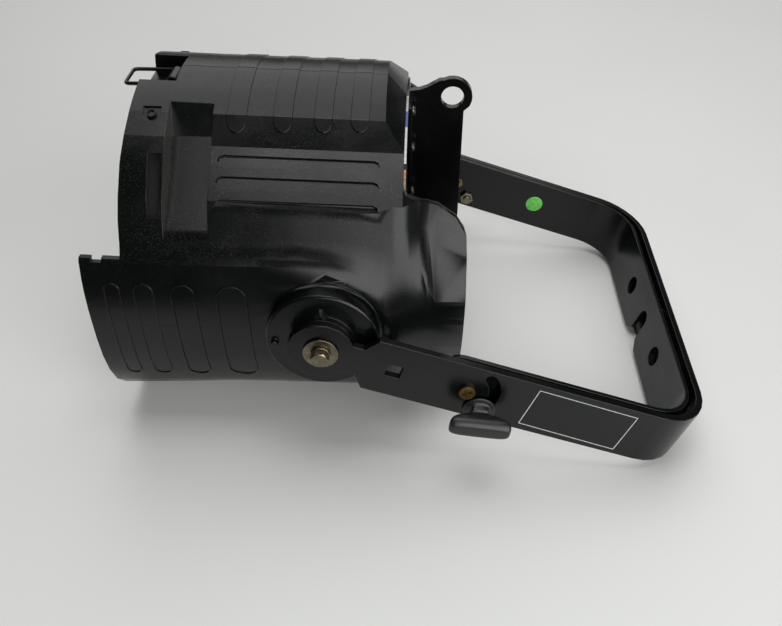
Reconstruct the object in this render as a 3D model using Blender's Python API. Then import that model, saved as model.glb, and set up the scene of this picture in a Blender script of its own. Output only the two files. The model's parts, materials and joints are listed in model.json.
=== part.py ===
"""A stage LED wash light: a two-shell housing hung in a double yoke, with its optics, fan and driver.

The optical axis runs along X and the light leaves towards -X. The tilt pivots lie along Y, with the
left side of the fixture at -Y. Z is up and the fixture stands on z = 0. Sizes are in metres.
"""

import math

import bmesh
import bpy
from mathutils import Matrix, Vector

# Clearances
FIT = 0.0003
RUNNING = 0.0005

# Cross-section of the housing: an upright elliptic barrel on a wider pod
WALL = 0.003
BARREL_HALF_WIDTH = 0.105
BARREL_HALF_HEIGHT = 0.108
BARREL_KEEL = 0.0922
BARREL_RISE = BARREL_HALF_HEIGHT - BARREL_KEEL
BARREL_TAPER = 0.030
BARREL_TAPER_START = -0.080
POD_HALF_WIDTH = 0.1125
POD_HALF_HEIGHT = 0.0977
POD_FRONT_TAPER = 0.003
POD_SQUARENESS = 3.0
POD_FRONT_SQUARENESS = 2.6
BELLY_SQUARENESS = 2.35
BELLY_FRONT_SQUARENESS = 2.75
SHOULDER_ANGLE = math.radians(25.3)
BEND_ANGLE = math.radians(34.5)
PANEL_ANGLE = math.radians(55.0)
FACET_DEPTH = 0.0050

# Stations along the optical axis, measured from the pivot axis
CHEEK_FRONT = -0.148
COLLAR_FRONT = -0.1225
COLLAR_LENGTH = 0.027
COLLAR_RAKE = 0.0042
POCKET_LENGTH = 0.027
BARREL_BACK = 0.048
EAR_BACK = 0.0878
REAR_CHAMFER_LENGTH = 0.012
REAR_CHAMFER_DROP = 0.014

# The ramp that blends the barrel into the pod, and the crease at its foot
CREASE_RISE = 0.0463
CREASE_FRONT_FALL = 0.0028
RAMP_RISE = 0.0573
CREASE_BACK = 0.042
RAMP_BACK = 0.069
RAMP_TURN = -0.012
CHEEK_RISE = 0.0458
CHEEK_NOTCH_DEPTH = 0.0022
EAR_LEAN = 0.23
EAR_LEAN_RISE = (0.030, 0.060)

# Openings and recesses in the shells, from the barrel's centre line
POCKET_FLOOR = ((0.044, 0.0815), (0.091, 0.0445))
POCKET_LIP = ((0.037, 0.1015), (0.099, 0.0400))
VENT_SLOT = ((0.068, 0.0825), (0.092, 0.0521))
VENT_SLOT_WIDTH = 0.008
SCREW_POCKET_ANGLE = math.radians(26.0)
SCREW_POCKET_WIDTH = 0.011
SCREW_POCKET_DEPTH = 0.0016
GROOVE_OFFSETS = (0.0092, 0.0228, 0.0375)
GROOVE_WIDTH = 0.0070
GROOVE_DEPTH = 0.0017
GROOVE_FRONT_MARGIN = 0.0044
GROOVE_BACK_MARGIN = 0.0145
NOTCH_HALF_WIDTH = 0.019
NOTCH_DEPTH = 0.012

# Foot under the pod
FOOT_HEIGHT = 0.003
FOOT_LENGTH = 0.030
FOOT_WIDTH = 0.044
FOOT_CENTRE = -0.085

# Accessory guide between the cheeks, for a filter frame with clipped corners
FRAME_WIDTH = 0.190
FRAME_CORNER_CUT = 0.042
FRAME_SLOT = 0.0065
GUIDE_LIP = 0.0055
GUIDE_OVERLAP = 0.0085
GUIDE_RISE = 0.024

# Optical stack, front to back
LENS_RECESS = 0.0045
BEZEL_THICKNESS = 0.003
LENS_HOLE_RADIUS = BARREL_HALF_WIDTH * 0.762
LENS_THICKNESS = 0.004
LENS_SEAT = 0.006
GASKET_THICKNESS = 0.0015
HOLDER_THICKNESS = 0.002
COLLIMATOR_LENGTH = 0.013
COLLIMATOR_RADIUS = LENS_HOLE_RADIUS * 0.131
EMITTER_PITCH = LENS_HOLE_RADIUS * 0.300
EMITTER_RINGS = 3
EMITTER_SIZE = 0.005
EMITTER_THICKNESS = 0.002
LED_BOARD_THICKNESS = 0.0016
SINK_BASE = 0.006
SINK_HALF_SIZE = 0.060
FIN_LENGTH = 0.036
FIN_COUNT = 13
FIN_THICKNESS = 0.0025

# Fan and chassis
FAN_SIZE = 0.092
FAN_THICKNESS = 0.025
FAN_BORE = 0.0435
FAN_SCREW_PITCH = 0.0825
FAN_BLADES = 7
ROTOR_HUB_RADIUS = 0.018
CHASSIS_THICKNESS = 0.003
CHASSIS_ARM_HEIGHT = 0.036
CHASSIS_ARM_REACH = 0.020
CHASSIS_ARM_GAP = 0.0018

# Driver
TRAY_DROP = 0.042
TRAY_THICKNESS = 0.002
TRAY_HALF_WIDTH = 0.072
STANDOFF_HEIGHT = 0.006
STANDOFF_RADIUS = 0.003
DRIVER_BOARD_THICKNESS = 0.0016
COMPONENT_HEIGHT = 0.024

# Rear panel and its controls
PANEL_THICKNESS = 0.003
PANEL_PROUD = 0.0015
DISPLAY_SIZE = (0.040, 0.020)
DISPLAY_CENTRE = (-0.042, 0.060)
BUTTON_RADIUS = 0.0032
BUTTON_PITCH = 0.013
BUTTON_DROP = 0.022
BUTTON_TRAVEL = 0.001
BUTTON_PROUD = 0.003
SOCKET_RADIUS = 0.012
SOCKET_FLANGE = 0.0155
SOCKET_BORE = 0.009
SOCKET_DEPTH = 0.020
SOCKET_SIDE = 0.044
SOCKET_HEIGHTS = {
    "power_inlet": (-1, -0.018),
    "power_outlet": (1, -0.018),
    "data_out_socket": (1, 0.020),
    "data_in_socket": (1, 0.056),
}

# Rear bracket with the hanging eye
BRACKET_THICKNESS = 0.005
BRACKET_BACK = 0.0852
BRACKET_BOTTOM = 0.0548
BRACKET_SHOULDER = 0.2112
FLANGE_WIDTH = 0.028
FLANGE_THICKNESS = 0.002
FLANGE_TOP = 0.2045
EYE_CENTRE = (0.0776, 0.2072)
EYE_RADIUS = 0.0128
EYE_HOLE_RADIUS = 0.0074
# How the bracket's top edge falls from the eye, in eye radii across and up
BRACKET_SWEEP = ((0.66, 0.88), (0.98, 0.70), (1.30, 0.51), (1.66, 0.38))
FLANGE_SCREW_HEIGHTS = (0.1412, 0.1745, 0.2005)
FLANGE_SCREW_SIDE = 0.0085
FLANGE_SCREW_RADIUS = 0.0034

# Retaining clip for the filter frame
CLIP_WIRE_RADIUS = 0.00125
CLIP_HALF_WIDTH = 0.011
CLIP_REACH = 0.0296
CLIP_PIVOT_SETBACK = 0.0211
CLIP_RISE = 0.0045
CLIP_MOUNT_HALF_WIDTH = 0.008

# Tilt pivots
BOSS_RADIUS = 0.0355
BOSS_THICKNESS = 0.0096
BOSS_PAD = 0.0001
HUB_RADIUS = 0.0205
HUB_HEIGHT = 0.0042
PIVOT_BOLT_RADIUS = 0.003
BOLT_HEAD_APOTHEM = 0.005
BOLT_HEAD_HEIGHT = 0.004
WASHER_RADIUS = 0.011
WASHER_THICKNESS = 0.0015
SPRING_WASHER_RADIUS = 0.0062
SPRING_WASHER_THICKNESS = 0.0016
NUT_HEIGHT = 0.005
THIN_NUT_HEIGHT = 0.0035
BOSS_PIN_RADIUS = 0.0025
BOSS_PIN_HEIGHT = 0.003
BOSS_PIN_PLACE = (-0.0295, -0.001)

# Yoke and stand: folded straps, measured from the pivot along the arm
STRAP_WIDTH = 0.0415
YOKE_THICKNESS = 0.005
YOKE_LENGTH = 0.2593
YOKE_CORNER = 0.037
YOKE_END_RADIUS = 0.021
YOKE_SHOULDER = 0.0315
NECK_START = 0.0245
NECK_HALF_WIDTH = 0.011
SQUARE_HOLE = 0.0096
SQUARE_HOLE_PLACE = 0.0471
CLAMP_HOLE_RADIUS = 0.0065
SIDE_HOLE_RADIUS = 0.00525
BAR_HOLE_SIDE = 0.043
STAND_THICKNESS = 0.003
STAND_SPACE = 0.0012
STAND_CORNER = 0.031
STAND_END_MARGIN = 0.0205
STAND_END_CORNER = 0.012
STAND_HOLE_RADIUS = 0.00715
STAND_PIVOT = 0.0955
CROSSBAR_SPACE = 0.0051
CRADLE_HALF_WIDTH = 0.007
CRADLE_TOP = 0.0065
CRADLE_MOUTH = 0.015
STAND_SCREW_RADIUS = 0.0025
STAND_SCREW_HEAD = 0.00525
STAND_NUT_APOTHEM = 0.004
BUMPER_RADIUS = 0.004
BUMPER_SIDE = -0.0040
BUMPER_RISE = 0.0125

# Locking knobs
STUD_RADIUS = 0.003
STUD_SWING = 0.0175
STUD_ANGLE = math.radians(-43.2)
SLOT_END_ANGLE = math.radians(52.0)
KNOB_HUB_RADIUS = 0.0108
KNOB_NECK_RADIUS = 0.0058
KNOB_LENGTH = 0.021
KNOB_HALF_SPAN = 0.020
KNOB_HALF_THICKNESS = 0.0072

# Places worked out from the sizes above
PIVOT_Z = FOOT_HEIGHT + POD_HALF_HEIGHT
BARREL_Z = PIVOT_Z + BARREL_RISE
OPTIC_Z = BARREL_Z
COLLAR_BACK = COLLAR_FRONT + COLLAR_LENGTH
POCKET_BACK = COLLAR_BACK + POCKET_LENGTH
PAD_FACE = POD_HALF_WIDTH + BOSS_PAD
BOSS_FACE = PAD_FACE + FIT + BOSS_THICKNESS
HUB_FACE = BOSS_FACE + HUB_HEIGHT
YOKE_INNER = HUB_FACE + FIT
YOKE_OUTER = YOKE_INNER + YOKE_THICKNESS
STAND_OUTER = YOKE_INNER - STAND_SPACE
STAND_INNER = STAND_OUTER - STAND_THICKNESS
STAND_LENGTH = YOKE_LENGTH - YOKE_THICKNESS - CROSSBAR_SPACE
PANEL_BACK = BARREL_BACK + PANEL_PROUD
REST_ANGLE = math.asin(PIVOT_Z / math.hypot(YOKE_LENGTH, STRAP_WIDTH / 2)) - math.atan2(
    STRAP_WIDTH / 2, YOKE_LENGTH
)
YOKE_REACH = YOKE_LENGTH * math.cos(REST_ANGLE) + STRAP_WIDTH / 2 * math.sin(REST_ANGLE)
CENTRE_X = (CHEEK_FRONT + YOKE_REACH) / 2
SIDES = {"left": -1, "right": 1}

# How a flat (a, b) drawing with a height h is laid along each axis
AXES = {
    "X": lambda a, b, h: (h, a, b),
    "Y": lambda a, b, h: (a, h, b),
    "Z": lambda a, b, h: (a, b, h),
}


# Mesh helpers


def circle(radius, centre=(0.0, 0.0), steps=20, start=0.0, sweep=math.tau):
    """Points round a circle, or round an arc that keeps both its ends."""
    count = steps if sweep == math.tau else steps + 1
    return [
        (
            centre[0] + radius * math.cos(start + sweep * i / steps),
            centre[1] + radius * math.sin(start + sweep * i / steps),
        )
        for i in range(count)
    ]


def hexagon(apothem, centre=(0.0, 0.0)):
    """A hexagon drawn with twelve points, so that it joins to a twelve-sided circle."""
    sixth = math.tau / 6
    points = []
    for i in range(12):
        angle = i * sixth / 2
        radius = apothem / math.cos(angle % sixth - sixth / 2)
        points.append((centre[0] + radius * math.cos(angle), centre[1] + radius * math.sin(angle)))
    return points


def rounded_box(half_a, half_b, corner, centre=(0.0, 0.0), steps=3):
    """A rectangle with round corners."""
    points = []
    for k, (sign_a, sign_b) in enumerate(((1, 1), (-1, 1), (-1, -1), (1, -1))):
        middle = (centre[0] + sign_a * (half_a - corner), centre[1] + sign_b * (half_b - corner))
        points += circle(corner, middle, steps, k * math.tau / 4, math.tau / 4)
    return points


def add_loft(bm, rings):
    """Skin a row of closed rings of 3-D points and cap both ends."""
    rows = [[bm.verts.new(point) for point in ring] for ring in rings]
    for low, high in zip(rows, rows[1:]):
        for i in range(len(low)):
            bm.faces.new((low[i - 1], low[i], high[i], high[i - 1]))
    bm.faces.new(rows[0])
    bm.faces.new(rows[-1])


def add_stack(bm, axis, layers):
    """Loft flat outlines, given as (outline, height), along one axis."""
    add_loft(bm, [[AXES[axis](a, b, height) for a, b in outline] for outline, height in layers])


def add_prism(bm, axis, outline, low, high, holes=()):
    """Extrude a flat outline with its holes from one height to another."""
    edges = []
    for loop in (outline, *holes):
        verts = [bm.verts.new(AXES[axis](a, b, low)) for a, b in loop]
        edges += [bm.edges.new((verts[i - 1], verts[i])) for i in range(len(verts))]
    filled = bmesh.ops.triangle_fill(bm, use_beauty=True, edges=edges)
    faces = [item for item in filled["geom"] if isinstance(item, bmesh.types.BMFace)]
    raised = bmesh.ops.extrude_face_region(bm, geom=faces)
    verts = [item for item in raised["geom"] if isinstance(item, bmesh.types.BMVert)]
    bmesh.ops.translate(bm, verts=verts, vec=AXES[axis](0.0, 0.0, high - low))


def add_box(bm, low, high):
    """An upright block between two corners."""
    outline = [(low[0], low[1]), (high[0], low[1]), (high[0], high[1]), (low[0], high[1])]
    add_stack(bm, "Z", [(outline, low[2]), (outline, high[2])])


def add_turned(bm, axis, profile, centre=(0.0, 0.0), steps=24):
    """Spin a closed profile of (radius, height) points about an axis."""
    verts = [bm.verts.new(AXES[axis](centre[0] + radius, centre[1], height)) for radius, height in profile]
    edges = []
    for i, vert in enumerate(verts):
        if profile[i][0] > 0 or profile[i - 1][0] > 0:
            edges.append(bm.edges.new((verts[i - 1], vert)))
    bmesh.ops.spin(
        bm,
        geom=verts + edges,
        cent=AXES[axis](*centre, 0.0),
        axis=AXES[axis](0.0, 0.0, 1.0),
        angle=math.tau,
        steps=steps,
        use_merge=True,
    )
    bmesh.ops.remove_doubles(bm, verts=bm.verts, dist=1e-6)


def add_ring(bm, axis, inner, outer, low, high, centre=(0.0, 0.0), steps=24):
    """A flat ring or a short tube."""
    profile = [(inner, low), (outer, low), (outer, high), (inner, high)]
    add_turned(bm, axis, profile, centre, steps)


def add_disc(bm, axis, radius, low, high, centre=(0.0, 0.0), steps=20):
    """A plain round slug."""
    outline = circle(radius, centre, steps)
    add_stack(bm, axis, [(outline, low), (outline, high)])


def add_screw(bm, axis, head_outline, shank_radius, seat, head_top, tip, centre):
    """A screw whose head sits on a seat and whose shank runs to its tip."""
    shank = circle(shank_radius, centre, 12)
    add_stack(bm, axis, [(head_outline, head_top), (head_outline, seat), (shank, seat), (shank, tip)])


# Scene helpers


def clear_scene():
    """Start from an empty scene."""
    for item in list(bpy.data.objects):
        bpy.data.objects.remove(item)


def finish(name, colour, roughness, metallic=0.0):
    """A plain material for one kind of surface."""
    made = bpy.data.materials.new(name)
    made.use_nodes = True
    shader = made.node_tree.nodes["Principled BSDF"]
    shader.inputs["Base Color"].default_value = (*colour, 1.0)
    shader.inputs["Roughness"].default_value = roughness
    shader.inputs["Metallic"].default_value = metallic
    return made


def add_object(name, bm, material, parent, location=(0.0, 0.0, 0.0)):
    """Turn a mesh that was modelled about its parent's origin into an object placed under it."""
    bmesh.ops.translate(bm, verts=bm.verts, vec=-Vector(location))
    bmesh.ops.recalc_face_normals(bm, faces=bm.faces)
    mesh = bpy.data.meshes.new(name)
    bm.to_mesh(mesh)
    bm.free()
    made = bpy.data.objects.new(name, mesh)
    bpy.context.collection.objects.link(made)
    made.data.materials.append(material)
    made.parent = parent
    made.location = location
    for polygon in mesh.polygons:
        polygon.use_smooth = True
    mesh.set_sharp_from_angle(angle=math.radians(32))
    return made


def add_empty(name, parent=None, location=(0.0, 0.0, 0.0)):
    """A frame that pieces are placed under."""
    made = bpy.data.objects.new(name, None)
    bpy.context.collection.objects.link(made)
    made.parent = parent
    made.location = location
    return made


def add_guide(name, bm, parent):
    """A mesh that only cuts or joins other pieces."""
    made = add_object(name, bm, bpy.data.materials["guide"], parent)
    made.hide_render = True
    made.display_type = "WIRE"
    return made


def combine(target, guide, operation="DIFFERENCE"):
    """Cut a guide out of a piece, or join it on."""
    modifier = target.modifiers.new(f"{operation.lower()} {guide.name}", "BOOLEAN")
    modifier.object = guide
    modifier.operation = operation
    modifier.solver = "EXACT"


def join(target, name, bm, parent):
    """Fuse a mesh onto a piece."""
    combine(target, add_guide(name, bm, parent), "UNION")


# Surface of the housing


def blend(low, high, share):
    """A value between two others."""
    return low + (high - low) * share


def clamped(value):
    """A share held between 0 and 1."""
    return min(1.0, max(0.0, value))


def half_height(x):
    """The barrel's half height, which falls towards the back."""
    return BARREL_HALF_HEIGHT - BARREL_TAPER * (x - BARREL_TAPER_START)


def barrel_point(angle, x):
    """A point of the barrel at an angle from straight up."""
    return (BARREL_HALF_WIDTH * math.sin(angle), BARREL_Z + half_height(x) * math.cos(angle))


def crease_height(x):
    """Height of the crease above the pivot at a station."""
    share = clamped((x - RAMP_TURN) / (CREASE_BACK - RAMP_TURN))
    fall = CREASE_FRONT_FALL * clamped((x - RAMP_TURN) / (CHEEK_FRONT - RAMP_TURN))
    return max(CREASE_RISE * math.sqrt(1.0 - share**2), CREASE_RISE * 0.13) - fall


def ramp_height(x):
    """Height of the ramp's upper edge above the pivot at a station."""
    share = clamped((x - RAMP_TURN) / (RAMP_BACK - RAMP_TURN))
    return max(RAMP_RISE * (1.0 - share**3.6) ** (1 / 3.6), RAMP_RISE * 0.35)


def ramp_share(x, rise):
    """How far a point of the side lies up the ramp, from 0 on the pod to 1 on the barrel."""
    if rise <= 0.0:
        return clamped((x - CREASE_BACK) / (RAMP_BACK - CREASE_BACK))
    if x <= RAMP_TURN:
        foot = crease_height(x)
        return clamped((rise - foot) / (RAMP_RISE - foot))
    angle = math.atan2(rise, x - RAMP_TURN)
    reach = math.hypot(rise, x - RAMP_TURN)
    along = math.cos(angle)
    up = math.sin(angle)
    inner = 1.0 / math.hypot(along / (CREASE_BACK - RAMP_TURN), up / CREASE_RISE)
    outer = ((along / (RAMP_BACK - RAMP_TURN)) ** 3.6 + (up / RAMP_RISE) ** 3.6) ** (-1 / 3.6)
    return clamped((reach - inner) / (outer - inner))


def pod_half_width(x):
    """The pod's half width, which draws in a little towards the front."""
    return POD_HALF_WIDTH - POD_FRONT_TAPER * (max(0.0, -x) / -CHEEK_FRONT) ** 1.5


def pod_squareness(x, front=POD_FRONT_SQUARENESS, back=POD_SQUARENESS):
    """The exponent of the pod's rounded-square section."""
    return blend(front, back, clamped((x - CHEEK_FRONT) / (CHEEK_FRONT * -0.6)))


def side_point(x, rise):
    """A point of the side at a height above the pivot axis."""
    height = min(1.0, (rise - BARREL_RISE) / half_height(x))
    barrel = BARREL_HALF_WIDTH * math.sqrt(1.0 - height**2)
    power = pod_squareness(x)
    pod = pod_half_width(x) * (1.0 - (rise / POD_HALF_HEIGHT) ** power) ** (1 / power)
    share = (1.0 - ramp_share(x, rise)) ** 2
    return (blend(barrel, pod, share), PIVOT_Z + rise)


def belly_point(x, angle):
    """A point of the lower half, at a drawing angle below the pivot axis."""
    power = 2.0 / pod_squareness(x, BELLY_FRONT_SQUARENESS, BELLY_SQUARENESS)
    across = pod_half_width(x) * max(0.0, math.cos(angle)) ** power
    down = POD_HALF_HEIGHT * math.sin(angle) ** power
    pod = math.hypot(across, down)
    a = (across / pod / BARREL_HALF_WIDTH) ** 2 + (down / pod / BARREL_HALF_HEIGHT) ** 2
    b = down / pod * BARREL_RISE / BARREL_HALF_HEIGHT**2
    c = (BARREL_RISE / BARREL_HALF_HEIGHT) ** 2 - 1.0
    barrel = (-b + math.sqrt(b * b - a * c)) / a
    share = (1.0 - ramp_share(x, 0.0)) ** 2
    scale = blend(barrel, pod, share) / pod
    return (across * scale, PIVOT_Z - down * scale)


def facet_bend(facet, x):
    """The lower edge of the shoulder facet, which drops into the barrel behind the collar."""
    y, z = barrel_point(BEND_ANGLE, x)
    return (y - facet * FACET_DEPTH * math.sin(BEND_ANGLE) * 0.3, z - facet * FACET_DEPTH * 1.1)


def section(x):
    """The housing's outline at a station, from the top centre round the +Y side to the bottom centre."""
    facet = clamped((x - COLLAR_BACK) / POCKET_LENGTH)
    chamfer = 0.97 * clamped((x - BARREL_BACK + REAR_CHAMFER_LENGTH) / REAR_CHAMFER_LENGTH)
    bend_y, bend_z = facet_bend(facet, x)
    rear_top = BARREL_Z + half_height(x) - REAR_CHAMFER_DROP
    points = []
    for i in range(5):
        y, z = barrel_point(SHOULDER_ANGLE * i / 4, x)
        rear_z = bend_z + (rear_top - bend_z) * (1.0 - (i / 4) ** 2)
        points.append((blend(y, bend_y * i / 4, chamfer), blend(z, rear_z, chamfer)))
    points.append((bend_y, bend_z))
    panel = barrel_point(PANEL_ANGLE, x)
    middle = barrel_point((BEND_ANGLE + PANEL_ANGLE) / 2, x)
    points.append(
        (
            blend(middle[0], (bend_y + panel[0]) / 2, facet),
            blend(middle[1], (bend_z + panel[1]) / 2, facet),
        )
    )
    points.append(panel)
    top = ramp_height(x)
    foot = crease_height(x)
    top_angle = math.acos((top - BARREL_RISE) / half_height(x))
    points.append(barrel_point((PANEL_ANGLE + top_angle) / 2, x))
    points += [side_point(x, blend(top, foot, i / 4)) for i in range(5)]
    points += [side_point(x, blend(foot, 0.0, i / 4)) for i in range(1, 4)]
    for i in range(11):
        near = min(i, 10 - i) / 5
        share = near**1.5 / 2 if i <= 5 else 1.0 - near**1.5 / 2
        points.append(belly_point(x, math.tau / 4 * share))
    lean = EAR_LEAN * clamped((x - BARREL_BACK) / (EAR_BACK - BARREL_BACK) * 2.0)
    low, high = EAR_LEAN_RISE
    return [(y * (1.0 - lean * clamped((z - PIVOT_Z - low) / (high - low))), z) for y, z in points]


def inset(points, depth):
    """An outline moved inwards by a wall."""
    moved = []
    for i, (y, z) in enumerate(points):
        before = points[max(0, i - 1)]
        after = points[min(len(points) - 1, i + 1)]
        tangent = (Vector(after) - Vector(before)).normalized()
        if i in (0, len(points) - 1):
            tangent = Vector((1.0, 0.0)) if i == 0 else Vector((-1.0, 0.0))
        moved.append((y + tangent[1] * depth, z - tangent[0] * depth))
    return moved


def whole_outline(x, depth):
    """The closed outline of what fits inside the shells at a station."""
    half = inset(section(x), depth)
    return half + [(-y, z) for y, z in half[-2:0:-1]]


def stations():
    """Places along the axis where the shells' outline is drawn."""
    marks = {
        CHEEK_FRONT,
        COLLAR_FRONT,
        COLLAR_BACK,
        POCKET_BACK,
        RAMP_TURN,
        BARREL_BACK - REAR_CHAMFER_LENGTH,
        BARREL_BACK,
        CREASE_BACK,
        RAMP_BACK,
        EAR_BACK + WALL,
    }
    marks |= {blend(COLLAR_FRONT, COLLAR_BACK, 0.5), blend(POCKET_BACK, RAMP_TURN, 0.5)}
    marks |= {blend(RAMP_TURN, CREASE_BACK, share) for share in (0.3, 0.55, 0.75, 0.9)}
    marks |= {blend(CREASE_BACK, RAMP_BACK, share) for share in (0.4, 0.6, 0.8)}
    return sorted(marks)


# Guides that cut the shells; side is -1 for the left shell and 1 for the right


def barrel_prism(bm, side, outline, low, high):
    """A prism along X whose outline is given from the barrel's centre line."""
    add_prism(bm, "X", [(side * y, BARREL_Z + z) for y, z in outline], low, high)


def pocket_outline(grow):
    """The window pocket's section, grown by a wall for the inside."""
    (top_y, top_z), (end_y, end_z) = POCKET_FLOOR
    (lip_y, lip_z), (low_y, low_z) = POCKET_LIP
    return [
        (lip_y - grow, lip_z),
        (top_y - grow, top_z - grow / 2),
        (end_y - grow / 3, end_z - grow * 1.1),
        (low_y + grow / 3, low_z - grow * 1.1),
        (BARREL_HALF_WIDTH * 1.25, low_z + BARREL_HALF_HEIGHT * 0.3),
        (BARREL_HALF_WIDTH * 0.8, BARREL_HALF_HEIGHT * 1.2),
        (lip_y - grow, BARREL_HALF_HEIGHT * 1.2),
    ]


def notch_box(bm, side, grow):
    """The clip notch at the front of the top seam."""
    floor = BARREL_Z + BARREL_HALF_HEIGHT - NOTCH_DEPTH - grow
    wide = NOTCH_HALF_WIDTH + grow
    low, high = sorted((-side * WALL * 2, side * wide))
    add_box(
        bm,
        (COLLAR_FRONT - WALL, low, floor),
        (COLLAR_BACK + grow, high, BARREL_Z + BARREL_HALF_HEIGHT * 1.2),
    )


def front_profile(bm, side):
    """What is cut away over the cheeks, in front of the collar, which leans back at the top."""
    low, high = sorted((-side * WALL, side * BARREL_HALF_WIDTH * 1.3))
    slot_front = CHEEK_FRONT + GUIDE_LIP * 1.36
    slot_back = slot_front + FRAME_SLOT
    cheek = PIVOT_Z + CHEEK_RISE
    outline = [
        (CHEEK_FRONT * 1.1, cheek),
        (slot_front, cheek),
        (slot_front, cheek - CHEEK_NOTCH_DEPTH),
        (slot_back, cheek - CHEEK_NOTCH_DEPTH),
        (slot_back, cheek),
        (COLLAR_FRONT, cheek),
        (COLLAR_FRONT, BARREL_Z + BARREL_HALF_HEIGHT * 0.45),
        (COLLAR_FRONT + COLLAR_RAKE * 0.3, BARREL_Z + BARREL_HALF_HEIGHT * 0.75),
        (COLLAR_FRONT + COLLAR_RAKE, BARREL_Z + BARREL_HALF_HEIGHT),
        (COLLAR_FRONT + COLLAR_RAKE, BARREL_Z + BARREL_HALF_HEIGHT * 1.2),
        (CHEEK_FRONT * 1.1, BARREL_Z + BARREL_HALF_HEIGHT * 1.2),
    ]
    add_prism(bm, "Y", outline, low, high)


def rear_profile(bm, side):
    """What is cut away behind the barrel, above and below the ears."""
    rise = PIVOT_Z
    length = EAR_BACK - BARREL_BACK
    outline = [
        (BARREL_BACK, BARREL_Z + BARREL_HALF_HEIGHT * 1.3),
        (BARREL_BACK, rise + POD_HALF_HEIGHT * 0.842),
        (BARREL_BACK + length * 0.05, rise + POD_HALF_HEIGHT * 0.807),
        (BARREL_BACK + length * 0.40, rise + POD_HALF_HEIGHT * 0.729),
        (BARREL_BACK + length * 0.63, rise + POD_HALF_HEIGHT * 0.681),
        (BARREL_BACK + length * 0.815, rise + POD_HALF_HEIGHT * 0.641),
        (BARREL_BACK + length * 0.94, rise + POD_HALF_HEIGHT * 0.583),
        (BARREL_BACK + length * 0.985, rise + POD_HALF_HEIGHT * 0.537),
        (EAR_BACK, rise + POD_HALF_HEIGHT * 0.430),
        (EAR_BACK, rise - POD_HALF_HEIGHT * 0.42),
        (BARREL_BACK + length * 0.35, rise - POD_HALF_HEIGHT * 0.90),
        (BARREL_BACK + length * 0.20, rise - POD_HALF_HEIGHT * 1.3),
        (EAR_BACK * 1.4, rise - POD_HALF_HEIGHT * 1.3),
        (EAR_BACK * 1.4, BARREL_Z + BARREL_HALF_HEIGHT * 1.3),
    ]
    low, high = sorted((-side * WALL * 3, side * POD_HALF_WIDTH * 1.3))
    add_prism(bm, "Y", outline, low, high)


def groove_cutters(bm, side):
    """Three long shallow grooves on the side panel."""
    run = (Vector(barrel_point(PANEL_ANGLE, 0.0)) - Vector(facet_bend(1.0, 0.0))).normalized()
    normal = Vector((-run[1], run[0]))
    along = run * GROOVE_WIDTH / 2
    front = POCKET_BACK + GROOVE_FRONT_MARGIN + GROOVE_WIDTH / 2
    back = BARREL_BACK - GROOVE_BACK_MARGIN - GROOVE_WIDTH / 2
    outline = circle(1.0, (0.0, 0.0), 4, math.tau / 4, math.tau / 2)
    for offset in GROOVE_OFFSETS:
        loop = [(front + a * GROOVE_WIDTH / 2, b) for a, b in outline]
        loop += [(back - a * GROOVE_WIDTH / 2, -b) for a, b in outline]
        rings = []
        for depth in (-GROOVE_DEPTH, GROOVE_WIDTH):
            ring = []
            for x, share in loop:
                start = Vector(facet_bend(1.0, x))
                y, z = start + run * offset + normal * depth + along * share
                ring.append((x, side * y, z))
            rings.append(ring)
        add_loft(bm, rings)


def vent_slot(bm, side):
    """The tall slot through the collar."""
    top, bottom = (Vector(point) for point in VENT_SLOT)
    across = (bottom - top).normalized()
    normal = Vector((-across[1], across[0])) * WALL * 3
    outline = [top + normal, bottom + normal, bottom - normal, top - normal]
    back = COLLAR_BACK - FIT * 5
    barrel_prism(bm, side, outline, back - VENT_SLOT_WIDTH, back)


def screw_frame(side):
    """The frame of a collar screw: its local Z points out of the barrel."""
    x = blend(COLLAR_FRONT, COLLAR_BACK, 0.62)
    y, z = barrel_point(SCREW_POCKET_ANGLE, x)
    slope = math.atan2(y / BARREL_HALF_WIDTH**2, (z - BARREL_Z) / BARREL_HALF_HEIGHT**2)
    place = (x, side * y, z)
    return Matrix.Translation(place) @ Matrix.Rotation(-side * slope, 4, "X")


def screw_pocket(bm, side):
    """The recess of the collar screw, with a flat upper end, and the screw's hole."""
    made = bmesh.new()
    radius = SCREW_POCKET_WIDTH / 2
    outline = circle(radius, (0.0, 0.0), 8, math.tau / 2 if side > 0 else 0.0, -side * -math.tau / 2)
    outline = [(a, side * abs(b)) for a, b in outline]
    outline += [(outline[-1][0], -side * radius), (outline[0][0], -side * radius)]
    add_stack(made, "Z", [(outline, -SCREW_POCKET_DEPTH), (outline, WALL * 2)])
    bmesh.ops.transform(made, matrix=screw_frame(side), verts=made.verts)
    merge(bm, made)


def screw_hole(bm, side):
    """The clearance hole of the collar screw."""
    made = bmesh.new()
    add_disc(made, "Z", STUD_RADIUS * 0.6, -WALL * 2, WALL, steps=12)
    bmesh.ops.transform(made, matrix=screw_frame(side), verts=made.verts)
    merge(bm, made)


def merge(bm, made):
    """Add one mesh to another."""
    bmesh.ops.recalc_face_normals(made, faces=made.faces)
    mesh = bpy.data.meshes.new("merge")
    made.to_mesh(mesh)
    made.free()
    bm.from_mesh(mesh)
    bpy.data.meshes.remove(mesh)


# Housing


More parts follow.
